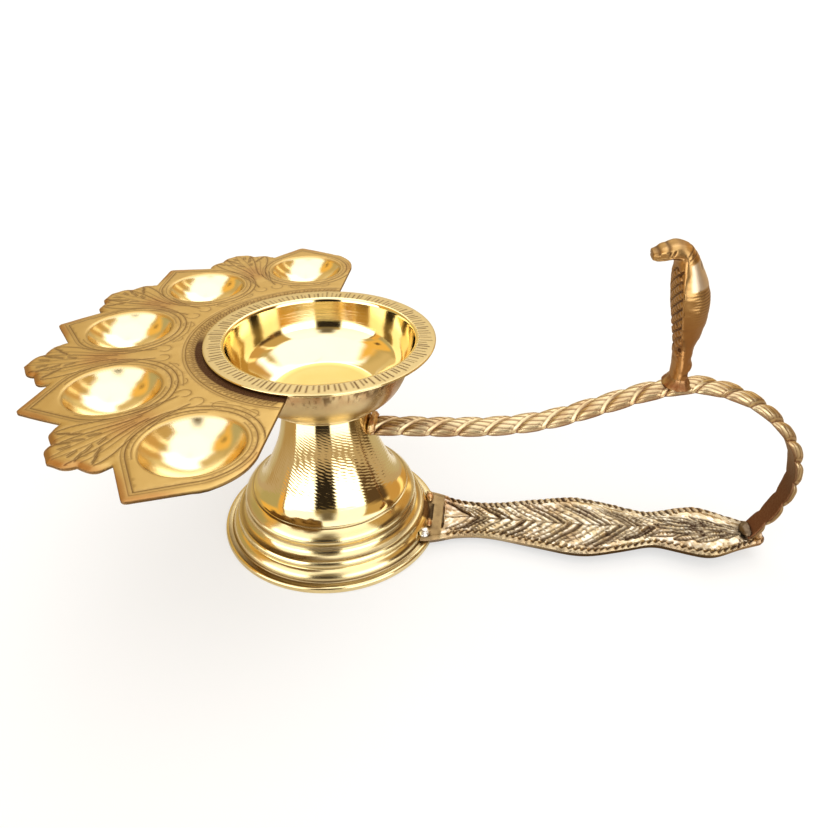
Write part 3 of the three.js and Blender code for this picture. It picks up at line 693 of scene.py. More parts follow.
def build_bowl():
    base = STAND_H + GAP
    top = base + BOWL_H
    under = top - RIM_THICK
    rim_in = RIM_R - RIM_WIDTH
    path, dirt, outer_count = bowl_path()
    r, z = path.T
    outer_wall = (np.arange(len(r)) < outer_count).astype(float)
    within = np.arange(len(r)) > len(r) // 2
    satin = 1.0 * ((z > top - 0.05) & (r > rim_in + 0.5))
    satin += 0.55 * outer_wall * smooth(z, base + 1.4, base + 4) + 0.6 * within * smooth(r, 17.5, 16.5)
    segments = RIM_TICKS * 6
    rng = np.random.default_rng(11)
    centres = (np.arange(RIM_TICKS) * 6 + rng.integers(-1, 2, RIM_TICKS)) % segments
    reach = rim_in + 1.4 + rng.uniform(-0.4, 0.5, RIM_TICKS) + rng.uniform(2.6, 4.3, RIM_TICKS)
    strength = rng.uniform(0.45, 1.0, RIM_TICKS)

    def bend(rr, zz, aa, grids):
        """Cuts the ticks into the rim, and stains and soils the outside."""
        zz = zz.copy()
        around = aa * 30
        wall = grids["stain"]
        blotch = 0.5 + 0.5 * noise(around, zz, 71, 2.4)
        high = smooth(zz, under - 14, under - 6)
        beside_arm = near(aa, 5.9, 0.22)
        grids["stain"] = wall * share_of(0.25 + 0.75 * blotch * high + 0.95 * beside_arm)
        specks = smooth(noise(around, zz * 2, 72, 0.9), 0.05, 0.5) * smooth(zz, under - 11, under - 6)
        darkened = 0.8 * specks + 0.5 * smooth(zz, under - 1.4, under - 0.4)
        soiled_and_shaded = share_of(grids["dirt"] + wall * darkened)
        flat = (zz > top - 0.05) & (rr > rim_in + 0.5) & (rr < RIM_R - 0.5)
        for c, end, s in zip(centres, reach, strength):
            hit = flat[:, c] & (rr[:, c] < end)
            zz[hit, c] -= TICK_DEPTH * s
            soiled_and_shaded[hit, c] = min(1.0, 1.25 * s)
            for side in (c - 1, (c + 1) % segments):
                soiled_and_shaded[hit, side] = np.maximum(soiled_and_shaded[hit, side], 0.5 * s)
        grids["dirt"] = soiled_and_shaded
        return zz

    polish = 0.75 * within * smooth(r, 31.2, 29.5)
    fields = {"dirt": dirt, "satin": satin, "polish": polish, "stain": outer_wall}
    piece = lathe("bowl_turned", path, segments, fields, bend)
    return install(piece, BRASS["polished"], "polished_brass", "bowl")


# ---------------------------------------------------------------- arm
def arm_route(count):
    """Middle of the bar and its outward side at evenly spaced distances, and those distances."""
    top = ARM_ROOT_Z + ARM_RUN[-1][1]
    bottom = HANDLE_ROOT_Z + HANDLE_RISE
    loop = [(TIP_X + x, bottom + share * (top - bottom)) for x, share in ARM_LOOP]
    start = NECK_R - 2.2
    run = [(start + share * (loop[0][0] - start), ARM_ROOT_Z + z) for share, z in ARM_RUN]
    curve = centripetal([(start, ARM_ROOT_Z), *run, *loop], np.linspace(0, 1, 6000))
    run_length = np.r_[0, np.cumsum(np.linalg.norm(np.diff(curve, axis=0), axis=1))]
    at = np.linspace(0, run_length[-1], count)
    middle = np.stack([np.interp(at, run_length, curve[:, k]) for k in (0, 1)], axis=1)
    return middle, leftwards(unit(np.gradient(middle, axis=0))), at


def build_arm():
    rings = 760
    over_points = 60
    middle, out, at = arm_route(rings)
    share = (at / at[-1])[:, None]
    half = ARM_HALF[0] + (ARM_HALF[1] - ARM_HALF[0]) * share
    thick = ARM_T[0] + (ARM_T[1] - ARM_T[0]) * share
    angle = np.broadcast_to(np.linspace(0, math.pi, over_points), (rings, over_points))
    side = np.cos(angle) * half
    body = np.sin(angle) ** 0.75
    distance = np.broadcast_to(at[:, None], angle.shape)
    strands = (distance + STRAND_LEAN * side) / STRAND_PITCH
    which = np.floor(strands)
    f = strands - which
    hollow = 1 - np.abs(np.sin(strands * math.pi))
    deep = 1.25 * hollow**1.8
    # a broad smooth facet at the end of each strand, then fine grooves nearly along the bar
    facet = smooth(f, 0.82, 0.85) * smooth(f, 0.99, 0.96)
    across = angle / math.pi * 9.0 + 1.1 * (f - 0.3) + 0.25 * noise(which * 3.1, angle, 9, 1.0)
    fine = 0.5 - 0.5 * np.cos(2 * math.pi * across)
    lines = (1 - fine) ** 3 * (1 - facet) * smooth(f, 0.03, 0.10)
    edge = 0.7 * near(f, 0.832, 0.02) + 0.9 * np.maximum(near(f, 0.0, 0.03), near(f, 1.0, 0.03))
    wobble = 0.12 * noise(distance, side, 12, 2.2) + 0.06 * noise(distance, side, 13, 0.9)
    relief = deep + 0.20 * lines + 0.22 * edge - 0.06 * facet - 0.3 * wobble
    height = np.clip(body * thick - np.minimum(1, 3 * body) * relief, 0.45, thick)
    side = side * (1 - 0.7 * deep / half)
    dirt = share_of(0.75 * lines + 0.85 * edge + 0.3 * smooth(hollow, 0.75, 1.0) + 0.25 * wobble)
    dirt = np.maximum(dirt, 0.85 * smooth(np.sin(angle), 0.2, 0.05))
    flux = smooth(at, 22, 3)[:, None] * smooth(side, 3.0, -2.5)
    blush = 0.06 + 0.35 * smooth(noise(distance, side, 14, 5.0), 0.0, 0.7)
    # the flat side that looks inwards, in the same order round the bar
    flat = np.linspace(-1, 1, 12)
    scallop = np.where(flat < 0, deep[:, -1:], deep[:, :1])
    flat_side = flat * (half * 0.94 - 0.7 * scallop)
    level = np.ones_like(flat_side)
    lowered = np.hstack([height, 0 * level]) - thick / 2
    points = np.stack([
        middle[:, :1] + out[:, :1] * lowered,
        -np.hstack([side, flat_side]),
        middle[:, 1:] + out[:, 1:] * lowered,
    ], axis=-1)
    keep = np.argmax(middle[:, 0] > NECK_R + 0.9)
    # the flat side darkens and reddens towards the loop's end, partly painted shade inside the curl
    fields = {
        "dirt": (np.hstack([dirt, level * (0.35 + 0.5 * smooth(share, 0.7, 0.9))]), 0.5, 0.5),
        "polish": (np.hstack([0.15 * facet, 0 * level]), 0, 0),
        "stain": (np.hstack([np.maximum(0.95 * flux, blush),
                             level * (0.45 + 0.5 * smooth(share, 0.78, 0.97))]), 0, 0),
    }
    fields = {key: (grid[keep:], first, last) for key, (grid, first, last) in fields.items()}
    piece = loft("rope_arm_cast", points[keep:], fields, flip=True)
    return install(piece, BRASS["rope"], "rope_brass", "rope_arm")


# ---------------------------------------------------------------- fan plate
def petal_place(middle, along, across):
    """A place on the plate by distances along and across the middle line of a petal or leaf."""
    along = np.asarray(along, float)
    across = np.asarray(across, float)
    x = -along * math.cos(middle) - across * math.sin(middle)
    y = along * math.sin(middle) - across * math.cos(middle)
    return np.stack([x, y], axis=-1)


def petal_line(middle, points):
    points = np.asarray(points, float)
    return petal_place(middle, points[:, 0], points[:, 1])


def fan_place(angle, radius):
    return np.stack([-radius * np.cos(angle), radius * np.sin(angle)], axis=-1)


def leaf_edge():
    """Edge of a leaf in its own (along, across) coordinates, as the CAD draws it."""
    at = [
        (7.2, 14.2), (6.2, 11.4), (5.4, 9.2), (5.2, 7.4), (2.2, 6.6), (1.5, 3.6), (0.9, 1.4), (0.3, 0),
    ]
    edge = PETAL_STEP / 2 - PETAL_HALF
    shoulder = FAN_R - SHOULDER_DROP
    start = (FAN_R - shoulder * math.cos(edge), shoulder * math.sin(edge))
    side = [start, *at]
    runs = [bezier(side[k:k + 3], 14) for k in (0, 2, 4, 6)]
    half = np.vstack(runs)
    half[:, 0] = FAN_R - half[:, 0]
    return np.vstack([half * [1, -1], half[::-1]])


def fan_edge():
    """The plate's whole outline, anticlockwise, with the side beside the bowl last."""
    first = (PETALS - 1) / 2 * PETAL_STEP
    last = first + PETAL_HALF * 1.25
    last_r = FAN_R - SHOULDER_DROP - 1.6
    bend = np.array([PLATE_END_X - 0.6, PLATE_CORNER_Y + PLATE_CORNER_RISE])
    start = np.array([PLATE_END_X, PLATE_CORNER_Y])
    runs = [bezier((start, bend, fan_place(last, last_r)), 20)]
    for i in range(PETALS):
        middle = first - i * PETAL_STEP
        blunt = FAN_R - TIP_ROUND
        tip = bezier([(blunt, -TIP_ROUND), (FAN_R, 0), (blunt, TIP_ROUND)], 8)
        runs.append(petal_line(middle, tip))
        if i + 1 < PETALS:
            runs.append(fan_place(middle - PETAL_HALF, FAN_R - SHOULDER_DROP)[None, :])
            runs.append(petal_line(middle - PETAL_STEP / 2, leaf_edge()))
    mirror = np.array([1, -1])
    runs.append(bezier((fan_place(-last, last_r), bend * mirror, start * mirror), 20))
    inner = WALL_TOP_R + GAP
    end = math.acos(-PLATE_END_X / inner)
    runs.append(fan_place(np.linspace(-end, end, 160), inner))
    runs.append(start[None, :])
    whole = np.vstack(runs)
    area = np.sum(whole[:-1, 0] * whole[1:, 1] - whole[:-1, 1] * whole[1:, 0])
    return whole if area > 0 else whole[::-1]


def teardrop(offset, reach=math.pi, from_tip=True):
    """A line round a cup at an offset, ending in a point towards the petal's tip."""
    r = CUP_R + offset
    turn = math.radians(40.2)
    arc = np.linspace(turn, turn + (math.pi - turn) * min(1.0, reach / math.pi), 60)
    ring = np.stack([CUP_CENTRE_R + r * np.cos(arc), r * np.sin(arc)], axis=1)
    if from_tip:
        ring = np.vstack([[CUP_CENTRE_R + r / math.cos(turn), 0], ring])
    return ring


def scroll(centre, radius, start, stop, shrink):
    """A spiral hook about a centre, in (along, across); angles in degrees."""
    a = np.radians(np.linspace(start, stop, 40))
    r = radius * np.linspace(1, shrink, 40)
    return np.stack([centre[0] + r * np.cos(a), centre[1] + r * np.sin(a)], axis=1)


def both_sides(points):
    points = np.asarray(points, float)
    return [points, points * [1, -1]]


def repeated(angles, shapes):
    """The shapes on both sides of each of the middle lines."""
    halves = [half for shape in shapes for half in both_sides(shape)]
    return [petal_line(middle, half) for middle in angles for half in halves]


def cup_lines():
    """Deep and fine engraved lines about each cup."""
    lobes = np.radians(np.linspace(100, 180, 40))
    lobe = CUP_R + 4.9
    arc = np.stack([CUP_CENTRE_R + lobe * np.cos(lobes), lobe * np.sin(lobes)], axis=1)
    outer = teardrop(4.0)
    deep_shapes = [teardrop(2.9), arc]
    fine_shapes = [
        outer[outer[:, 0] > CUP_CENTRE_R - 4],
        teardrop(1.3, from_tip=False, reach=2.6),
        scroll((51.6, 5.8), 2.6, 200, -60, 0.55),
        bezier([(49.3, 0), (49.8, 4.0), (51.2, 8.6)], 20),
    ]
    return repeated(CUP_ANGLES, deep_shapes), repeated(CUP_ANGLES, fine_shapes)


# Little pairs of grain marks on a leaf: where they lie, along and across, and how they lean
GRAINS = [
    (92.2, 2.0, 0.25), (88.0, 3.0, 0.5), (91.6, 4.6, 0.6), (87.2, 6.6, 0.8), (83.6, 2.2, 0.4),
    (89.2, 9.0, 0.9),
]


def leaf_lines():
    """Veins of the leaves, the stems between the cups, and the little grain marks."""
    deep_shapes = []
    fine_shapes = []
    for k, (u, v) in enumerate([(96.9, 0.6), (95.6, 5.2), (92.4, 7.6), (90.6, 11.4)]):
        start = (72.5 - 3.2 * k, 0.55 + 0.9 * k)
        bend_1 = (79.5 - 1.2 * k, 0.4 + 1.0 * k)
        bend_2 = (u - 11.5 + 1.2 * k, v + 1.6 - 0.4 * k)
        (deep_shapes if k % 2 else fine_shapes).append(bezier([start, bend_1, bend_2, (u, v)], 40))
    deep_shapes.append(bezier([(56.5, 3.4), (62, 3.0), (66, 4.6), (72, 6.4)], 30))
    fine_shapes.append(scroll((54.0, 3.1), 2.9, 60, 300, 0.6))
    marks = []
    for u, v, lean in GRAINS:
        for side in (1, -1):
            for gap in (-0.42, 0.42):
                ends = [(u + d + gap * 0.3, side * (v + d * lean + gap)) for d in (-1.4, 1.4)]
                marks.append(np.array(ends))
    grains = [petal_line(middle, mark) for middle in LEAF_ANGLES for mark in marks]
    return repeated(LEAF_ANGLES, deep_shapes), repeated(LEAF_ANGLES, fine_shapes), grains


def band_lines():
    """The band of slanted strokes beside the bowl's rim, between two arcs."""
    arcs = [fan_place(np.linspace(-1.52, 1.52, 240), r) for r in (46.7, 47.7)]
    rng = np.random.default_rng(21)
    strokes = []
    for angle in np.arange(-1.5, 1.5, 0.036):
        angle += rng.uniform(-0.004, 0.004)
        for lean, low, high in ((0.040, 42.2, 45.9), (0.055, 43.2, 45.2)):
            a = fan_place(angle, low + rng.uniform(-0.2, 0.3))
            b = fan_place(angle + lean, high + rng.uniform(-0.4, 0.1))
            strokes.append(np.array([a, b]))
    return arcs, strokes


def inside_outline(points, edge):
    """Whether points lie inside a closed outline, by counting crossings."""
    x, y = np.asarray(points, float).T
    inside = np.zeros(len(x), bool)
    a = edge
    b = np.roll(edge, -1, axis=0)
    for (ax, ay), (bx, by) in zip(a, b):
        if ay == by:
            continue
        crosses = (ay > y) != (by > y)
        at = ax + (y - ay) * (bx - ax) / (by - ay)
        inside ^= crosses & (x < at)
    return inside


def cup_offsets(points):
    """Distance from the nearest cup's middle."""
    centres = fan_place(np.array(CUP_ANGLES), CUP_CENTRE_R)
    return np.linalg.norm(points[:, None] - centres, axis=2).min(axis=1)


CUP_SPHERE = (CUP_R**2 + CUP_DEPTH**2) / (2 * CUP_DEPTH)


def dish(radius, wall=0.0):
    """Height of a cup's inside, or of its outside when wall is given, softly joined to the sheet."""
    sphere = CUP_SPHERE + wall
    level = PLATE_T if wall else 0.0
    drop = CUP_SPHERE - CUP_DEPTH - np.sqrt(np.maximum(sphere**2 - radius**2, 0.01)) + level
    drop = np.where(radius < sphere - 0.3, drop, 9.0)
    soft = 0.42
    return 0.5 * (drop - np.sqrt(drop**2 + soft**2)) - level


def clear_points(points, taken, gap):
    """The points that have no earlier point within about gap, earliest kept first."""
    cells = set(taken)
    kept = []
    for point, cell in zip(points, map(tuple, np.round(points / gap).astype(int))):
        if cell not in cells:
            cells.add(cell)
            kept.append(point)
    return np.array(kept).reshape(-1, 2)


def row_points(lines, step, offset):
    """Points along lines, in a middle row and a row at offset on each side."""
    rows = []
    for line in lines:
        run = spaced(line, step)
        beside = leftwards(unit(np.gradient(run, axis=0))) * offset
        rows += [run, run + beside, run - beside]
    return np.vstack(rows)


def plate_relief():
    """The engraving, and its long and short lines."""
    relief = Relief(*PLATE_AREA, 0.14)
    deep, fine = cup_lines()
    leaf_deep, leaf_fine, grains = leaf_lines()
    arcs, strokes = band_lines()
    deep += leaf_deep
    fine += leaf_fine
    relief.groove(deep + arcs[:1], 0.12, 0.2, dirt=0.85, lip=0.12)
    relief.groove(fine + arcs[1:], 0.07, 0.17, dirt=0.6, lip=0.1)
    relief.groove(grains + strokes, 0.12, 0.22, dirt=0.8, lip=0.15)
    return relief, deep + fine + arcs, grains + strokes


def triangles(points, border):
    """Triangles over the points inside the border; border is a run of the first indices."""
    spots = [Vector((float(x), float(y))) for x, y in points]
    made = delaunay_2d_cdt(spots, [], [list(range(border))], 1, 1e-5, False)
    places = np.array([(v.x, v.y) for v in made[0]])
    faces = np.array([f for f in made[2] if len(f) == 3])
    inside = inside_outline(places[faces].mean(axis=1), points[:border])
    return places, faces[inside]


def cup_rings():
    """Rings of points over the cups, closest about their rims."""
    about_rim = CUP_R + np.array([-1.2, -0.8, -0.45, -0.15, 0.15, 0.45, 0.8])
    radii = np.r_[np.arange(0.8, CUP_R - 1.6, 0.8), about_rim]
    rings = []
    for angle in CUP_ANGLES:
        centre = fan_place(angle, CUP_CENTRE_R)
        rings.append(centre[None, :])
        for k, r in enumerate(radii):
            count = max(8, min(110, int(2 * math.pi * r / 0.75)))
            a = np.linspace(0, 2 * math.pi, count, endpoint=False) + 0.5 * k
            rings.append(centre + r * np.stack([np.cos(a), np.sin(a)], axis=1))
    return np.vstack(rings)


def lattice(step):
    """Points in staggered rows over the plate."""
    x0, x1, y0, y1 = PLATE_AREA
    gx, gy = np.meshgrid(np.arange(x0, x1, step), np.arange(y0, y1, step * 0.866), indexing="ij")
    gx = gx + (np.arange(gx.shape[1]) % 2)[None, :] * step / 2
    return np.stack([gx.ravel(), gy.ravel()], axis=1)


def build_plate():
    edge = spaced(fan_edge(), 0.5)[:-1]
    relief, long_lines, short_lines = plate_relief()
    rim = Relief(*PLATE_AREA, 0.2)
    rim.height = rim.distance([np.vstack([edge, edge[:1]])], 3.0)

    def from_edge(points):
        return rim.read(*points.T)[0]

    def surface(points, under):
        """Height of the sheet's upper or under side, and the upper side's dirt."""
        x, y = points.T
        radius = cup_offsets(points)
        inset = from_edge(points)
        turn = np.arctan2(y, -x) / PETAL_STEP
        leaf = smooth(np.abs(turn % 1 - 0.5), 0.27, 0.23)
        far_out = smooth(np.hypot(x, y), 86, 91) * (0.06 + 0.94 * leaf)
        curl = (0.07 + 0.7 * far_out) * smooth(inset, 2.2, 0.0) ** 2 * (np.hypot(x, y) >= 41)
        hammered = 0.06 * noise(x, y, 31, 6.0) + 0.025 * noise(x, y, 32, 2.4)
        z = dish(radius, CUP_WALL if under else 0.0) - 0.06
        z = z - curl + hammered * smooth(radius, CUP_R, CUP_R + 2)
        if under:
            return z
        cut, dirt = relief.read(x, y)
        outside = smooth(radius, CUP_R + 0.2, CUP_R + 0.9) * smooth(inset, 0.1, 0.5)
        return z + cut * outside - 0.16 * smooth(inset, 0.35, 0.0), dirt * outside

    def sheet(points, clear):
        """Triangles over the outline and those of the points that are clear of it."""
        points = points[inside_outline(points, edge)]
        return triangles(np.vstack([edge, points[from_edge(points) > clear]]), len(edge))

    inwards = leftwards(unit(np.roll(edge, -1, axis=0) - np.roll(edge, 1, axis=0)))
    inset_rows = []
    for inset in (0.22, 0.5, 0.95, 1.5):
        row = edge + inwards * inset
        inset_rows.append(row[from_edge(row) > inset * 0.85])
    rings = cup_rings()
    lines = np.vstack([row_points(long_lines, 0.42, 0.24), row_points(short_lines, 0.5, 0.24)])
    lines = lines[cup_offsets(lines) > CUP_R + 0.95]
    grid = lattice(0.95)
    grid = grid[cup_offsets(grid) > CUP_R + 0.9]
    kept = clear_points(np.vstack([*inset_rows, rings, lines]), [], 0.17)
    coarse = clear_points(grid, map(tuple, np.round(kept / 0.5).astype(int)), 0.5)
    top, top_faces = sheet(np.vstack([kept, coarse]), 0.12)
    sparse = np.vstack([inset_rows[1], inset_rows[3], rings[::2], coarse[::4]])
    low, low_faces = sheet(clear_points(sparse, [], 0.6), 0.3)
    top_z, dirt = surface(top, False)
    low_z = surface(low, True)
    polish = smooth(cup_offsets(top), CUP_R + 0.1, CUP_R - 0.7)
    inset = from_edge(top)
    reach = np.hypot(*top.T)
    turn = np.arctan2(top[:, 1], -top[:, 0]) / PETAL_STEP
    # painted orange-brown shade between the cups and on the curled ends, with tarnish along the
    # engraving; less in the cups
    stem = smooth(np.abs(turn % 1 - 0.5), 0.16, 0.02) * smooth(reach, 62, 70) * smooth(reach, 84, 76)
    ends = smooth(reach, 88, 93) * smooth(inset, 3.0, 0.6)
    stain = share_of(0.55 * stem + 0.8 * ends + 0.25 * dirt) * (1 - polish)
    # painted shadow under the bowl's rim, strongest on the near side, put into the dirt
    shaded = share_of(1.4 * smooth(reach, 44.2, 43.0) * smooth(top[:, 1], 6, -16))
    dirt = np.maximum.reduce([dirt, 0.5 * smooth(inset, 0.25, 0.05), shaded])
    count = len(top)
    points = np.vstack([np.c_[top, top_z + PLATE_TOP], np.c_[low, low_z + PLATE_TOP]])
    i = np.arange(len(edge))
    j = (i + 1) % len(edge)
    wall = np.stack([i, count + i, count + j, j], axis=1)
    fields = {
        "dirt": np.r_[dirt, np.full(len(low), 0.55)],
        "polish": np.r_[polish, np.zeros(len(low))],
        "stain": np.r_[stain, np.full(len(low), 0.3)],
    }
    faces = [top_faces, low_faces[:, ::-1] + count, wall]
    piece = mesh_object("fan_plate_pressed", points, faces, fields)
    return install(piece, BRASS["engraved"], "engraved_brass", "fan_plate")
# ---------------------------------------------------------------- handle
HANDLE_JOINT_R = FOOT_R - GROOVE + GAP
SLIT_END_X = FOOT_R - GROOVE + 1.2
SLIT_Y = 1.8
HANDLE_START = HANDLE_JOINT_R - 5
TOOTH_PITCH = 2.6
TOP_POINTS = 76
TOP_TURN = math.pi / 2 * 0.94  # how far the rows of the top lie closer together near its edges
SIDE_POINTS = 6
UNDER_POINTS = 12


def handle_half(x):
    """Half of the handle's width at places along X, its corners rounded except near the tip."""
    sides = uniform_spline(HANDLE_SIDES, np.linspace(0, 1, 900)) + [FOOT_R, 0]
    at = np.r_[sides[:, 0], TIP_X + 1.6]
    half = np.r_[sides[:, 1], HANDLE_SIDES[-1][1] - 1.6]
    order = np.argsort(at)
    x = np.asarray(x)
    shifts = (-3, -1.5, 0, 1.5, 3)
    rounded = sum(np.interp(x + shift, at[order], half[order]) for shift in shifts) / len(shifts)
    return np.where(x > TIP_X - 6, np.interp(x, at[order], half[order]), rounded)


def handle_top(x):
    return HANDLE_ROOT_Z + HANDLE_RISE * np.clip((x - FOOT_R) / HANDLE_LENGTH, 0, None) ** 1.5


def feather_lines():
    """Veins and barbs of the feather pattern that runs along the handle's sunken field."""
    rng = np.random.default_rng(41)
    veins = []
    barbs = []
    x = FOOT_R + 4.0
    while x < TIP_X - 44:
        field = handle_half(x + 3) - BORDER_W
        for side in (1, -1):
            out = field * rng.uniform(0.80, 0.95)
            reach = 1.05 * field + rng.uniform(-1.1, 1.1)
            bend = (x + reach * 0.45, side * out * 0.62)
            vein = bezier([(x, side * out), bend, (x + reach, side * 0.35)], 24)
            veins.append(vein)
            for share in (0.15, 0.32, 0.49, 0.66, 0.83):
                a = vein[int(share * 24)]
                tip = a + [rng.uniform(0.9, 1.3), side * rng.uniform(0.55, 0.85)]
                barbs.append(np.array([a, tip]))
        x += 3.3 + rng.uniform(-0.8, 0.8)
    return veins, barbs


# Leaves of the second swelling: start, length, half width and slope
LEAVES = [
    (0, 6.4, 15, 2.3, -0.16), (4, 4.0, 15, 2.2, -0.12), (9, 6.9, 14, 2.0, -0.30),
    (13, 4.4, 13, 1.9, -0.22), (17, 7.4, 12, 1.8, -0.42), (2, 1.4, 16, 2.1, -0.05),
    (15, 1.8, 15, 1.9, -0.1), (-1, -4.8, 13, 2.6, 0.20), (8, -6.0, 12, 2.4, 0.24),
    (17, -6.6, 11, 2.2, 0.36), (6, -2.2, 14, 2.0, 0.08), (19, -2.6, 12, 1.8, 0.12),
    (26, 3.6, 9, 1.6, -0.3), (26, -4.2, 8, 1.5, 0.35),
]


def leaf_shapes():
    """The pointed leaves of the handle's second swelling, with their hatching."""
    outlines = []
    hatch = []
    for k, (x, y, length, width, slope) in enumerate(LEAVES):
        a = np.array([TIP_X - 41 + x, y])
        b = a + [length, slope * length]
        along = unit(b - a)
        across = leftwards(along) * (1 if k % 2 else -1)
        for side in (1, -1):
            outlines.append(bezier([a, (a + b) / 2 + side * width * across, b], 20))
        for share in np.arange(0.18, 0.86, 0.11):
            foot = a + (b - a) * share
            height = width * 1.8 * share * (1 - share)
            hatch.append(np.array([foot, foot + along * 0.7 + across * height]))
    return outlines, hatch


def handle_relief():
    relief = Relief(38, TIP_X + 3, -18, 18, 0.15)
    veins, barbs = feather_lines()
    outlines, hatch = leaf_shapes()
    xs = np.arange(FOOT_R + 3.5, TIP_X - 2, 0.5)
    midrib = np.stack([xs, 0.35 * np.sin(xs / 9.0)], axis=1)
    strong = [vein for k, vein in enumerate(veins) if k % 5 in (0, 3)]
    light = [vein for k, vein in enumerate(veins) if k % 5 not in (0, 3)]
    end = FOOT_R + 2.1
    flange = np.array([(end, -7.5), (end + 0.4, 2), (end - 0.2, 11.5)])
    for lines, depth, width, dirt in (
        (strong, 0.6, 0.5, 1.0),
        (light, 0.32, 0.28, 0.8),
        (outlines, 0.36, 0.3, 1.0),
        ([midrib], 0.3, 0.3, 0.9),
        (barbs, 0.26, 0.24, 0.8),
        (hatch, 0.24, 0.22, 0.8),
        ([flange], 0.55, 0.4, 1.0),
    ):
        relief.groove(lines, depth, width, dirt)
    teeth = []
    rng = np.random.default_rng(43)
    for x in np.arange(FOOT_R + 4.4, TIP_X - 4, TOOTH_PITCH):
        w = handle_half(x)
        lean = rng.uniform(2.0, 2.5)
        teeth.append(np.array([(x, w - 0.1), (x + lean, w - BORDER_W + 0.2)]))
        near_in = BORDER_W + (0.2 if x < FOOT_R + 60 else -0.1)
        teeth.append(np.array([(x + 0.6, -w + 1.1), (x + 0.6 + lean * 0.8, -w + near_in + 0.4)]))
    relief.groove(teeth, 0.6, 0.42, dirt=1.0, lip=0.2)
    return relief


def warped(x, y):
    """Moves the first stretch along X so that the root follows the foot's curve and the slit."""
    root = np.sqrt(np.maximum(HANDLE_JOINT_R**2 - y**2, 1))
    slit = smooth(np.abs(y - SLIT_Y), 5.5, 5.1)
    root = np.maximum(root, root * (1 - slit) + SLIT_END_X * slit)
    until = FOOT_R + 8
    share = share_of((x - HANDLE_START) / (until - HANDLE_START))
    return np.where(x < until, root + (until - root) * share, x)


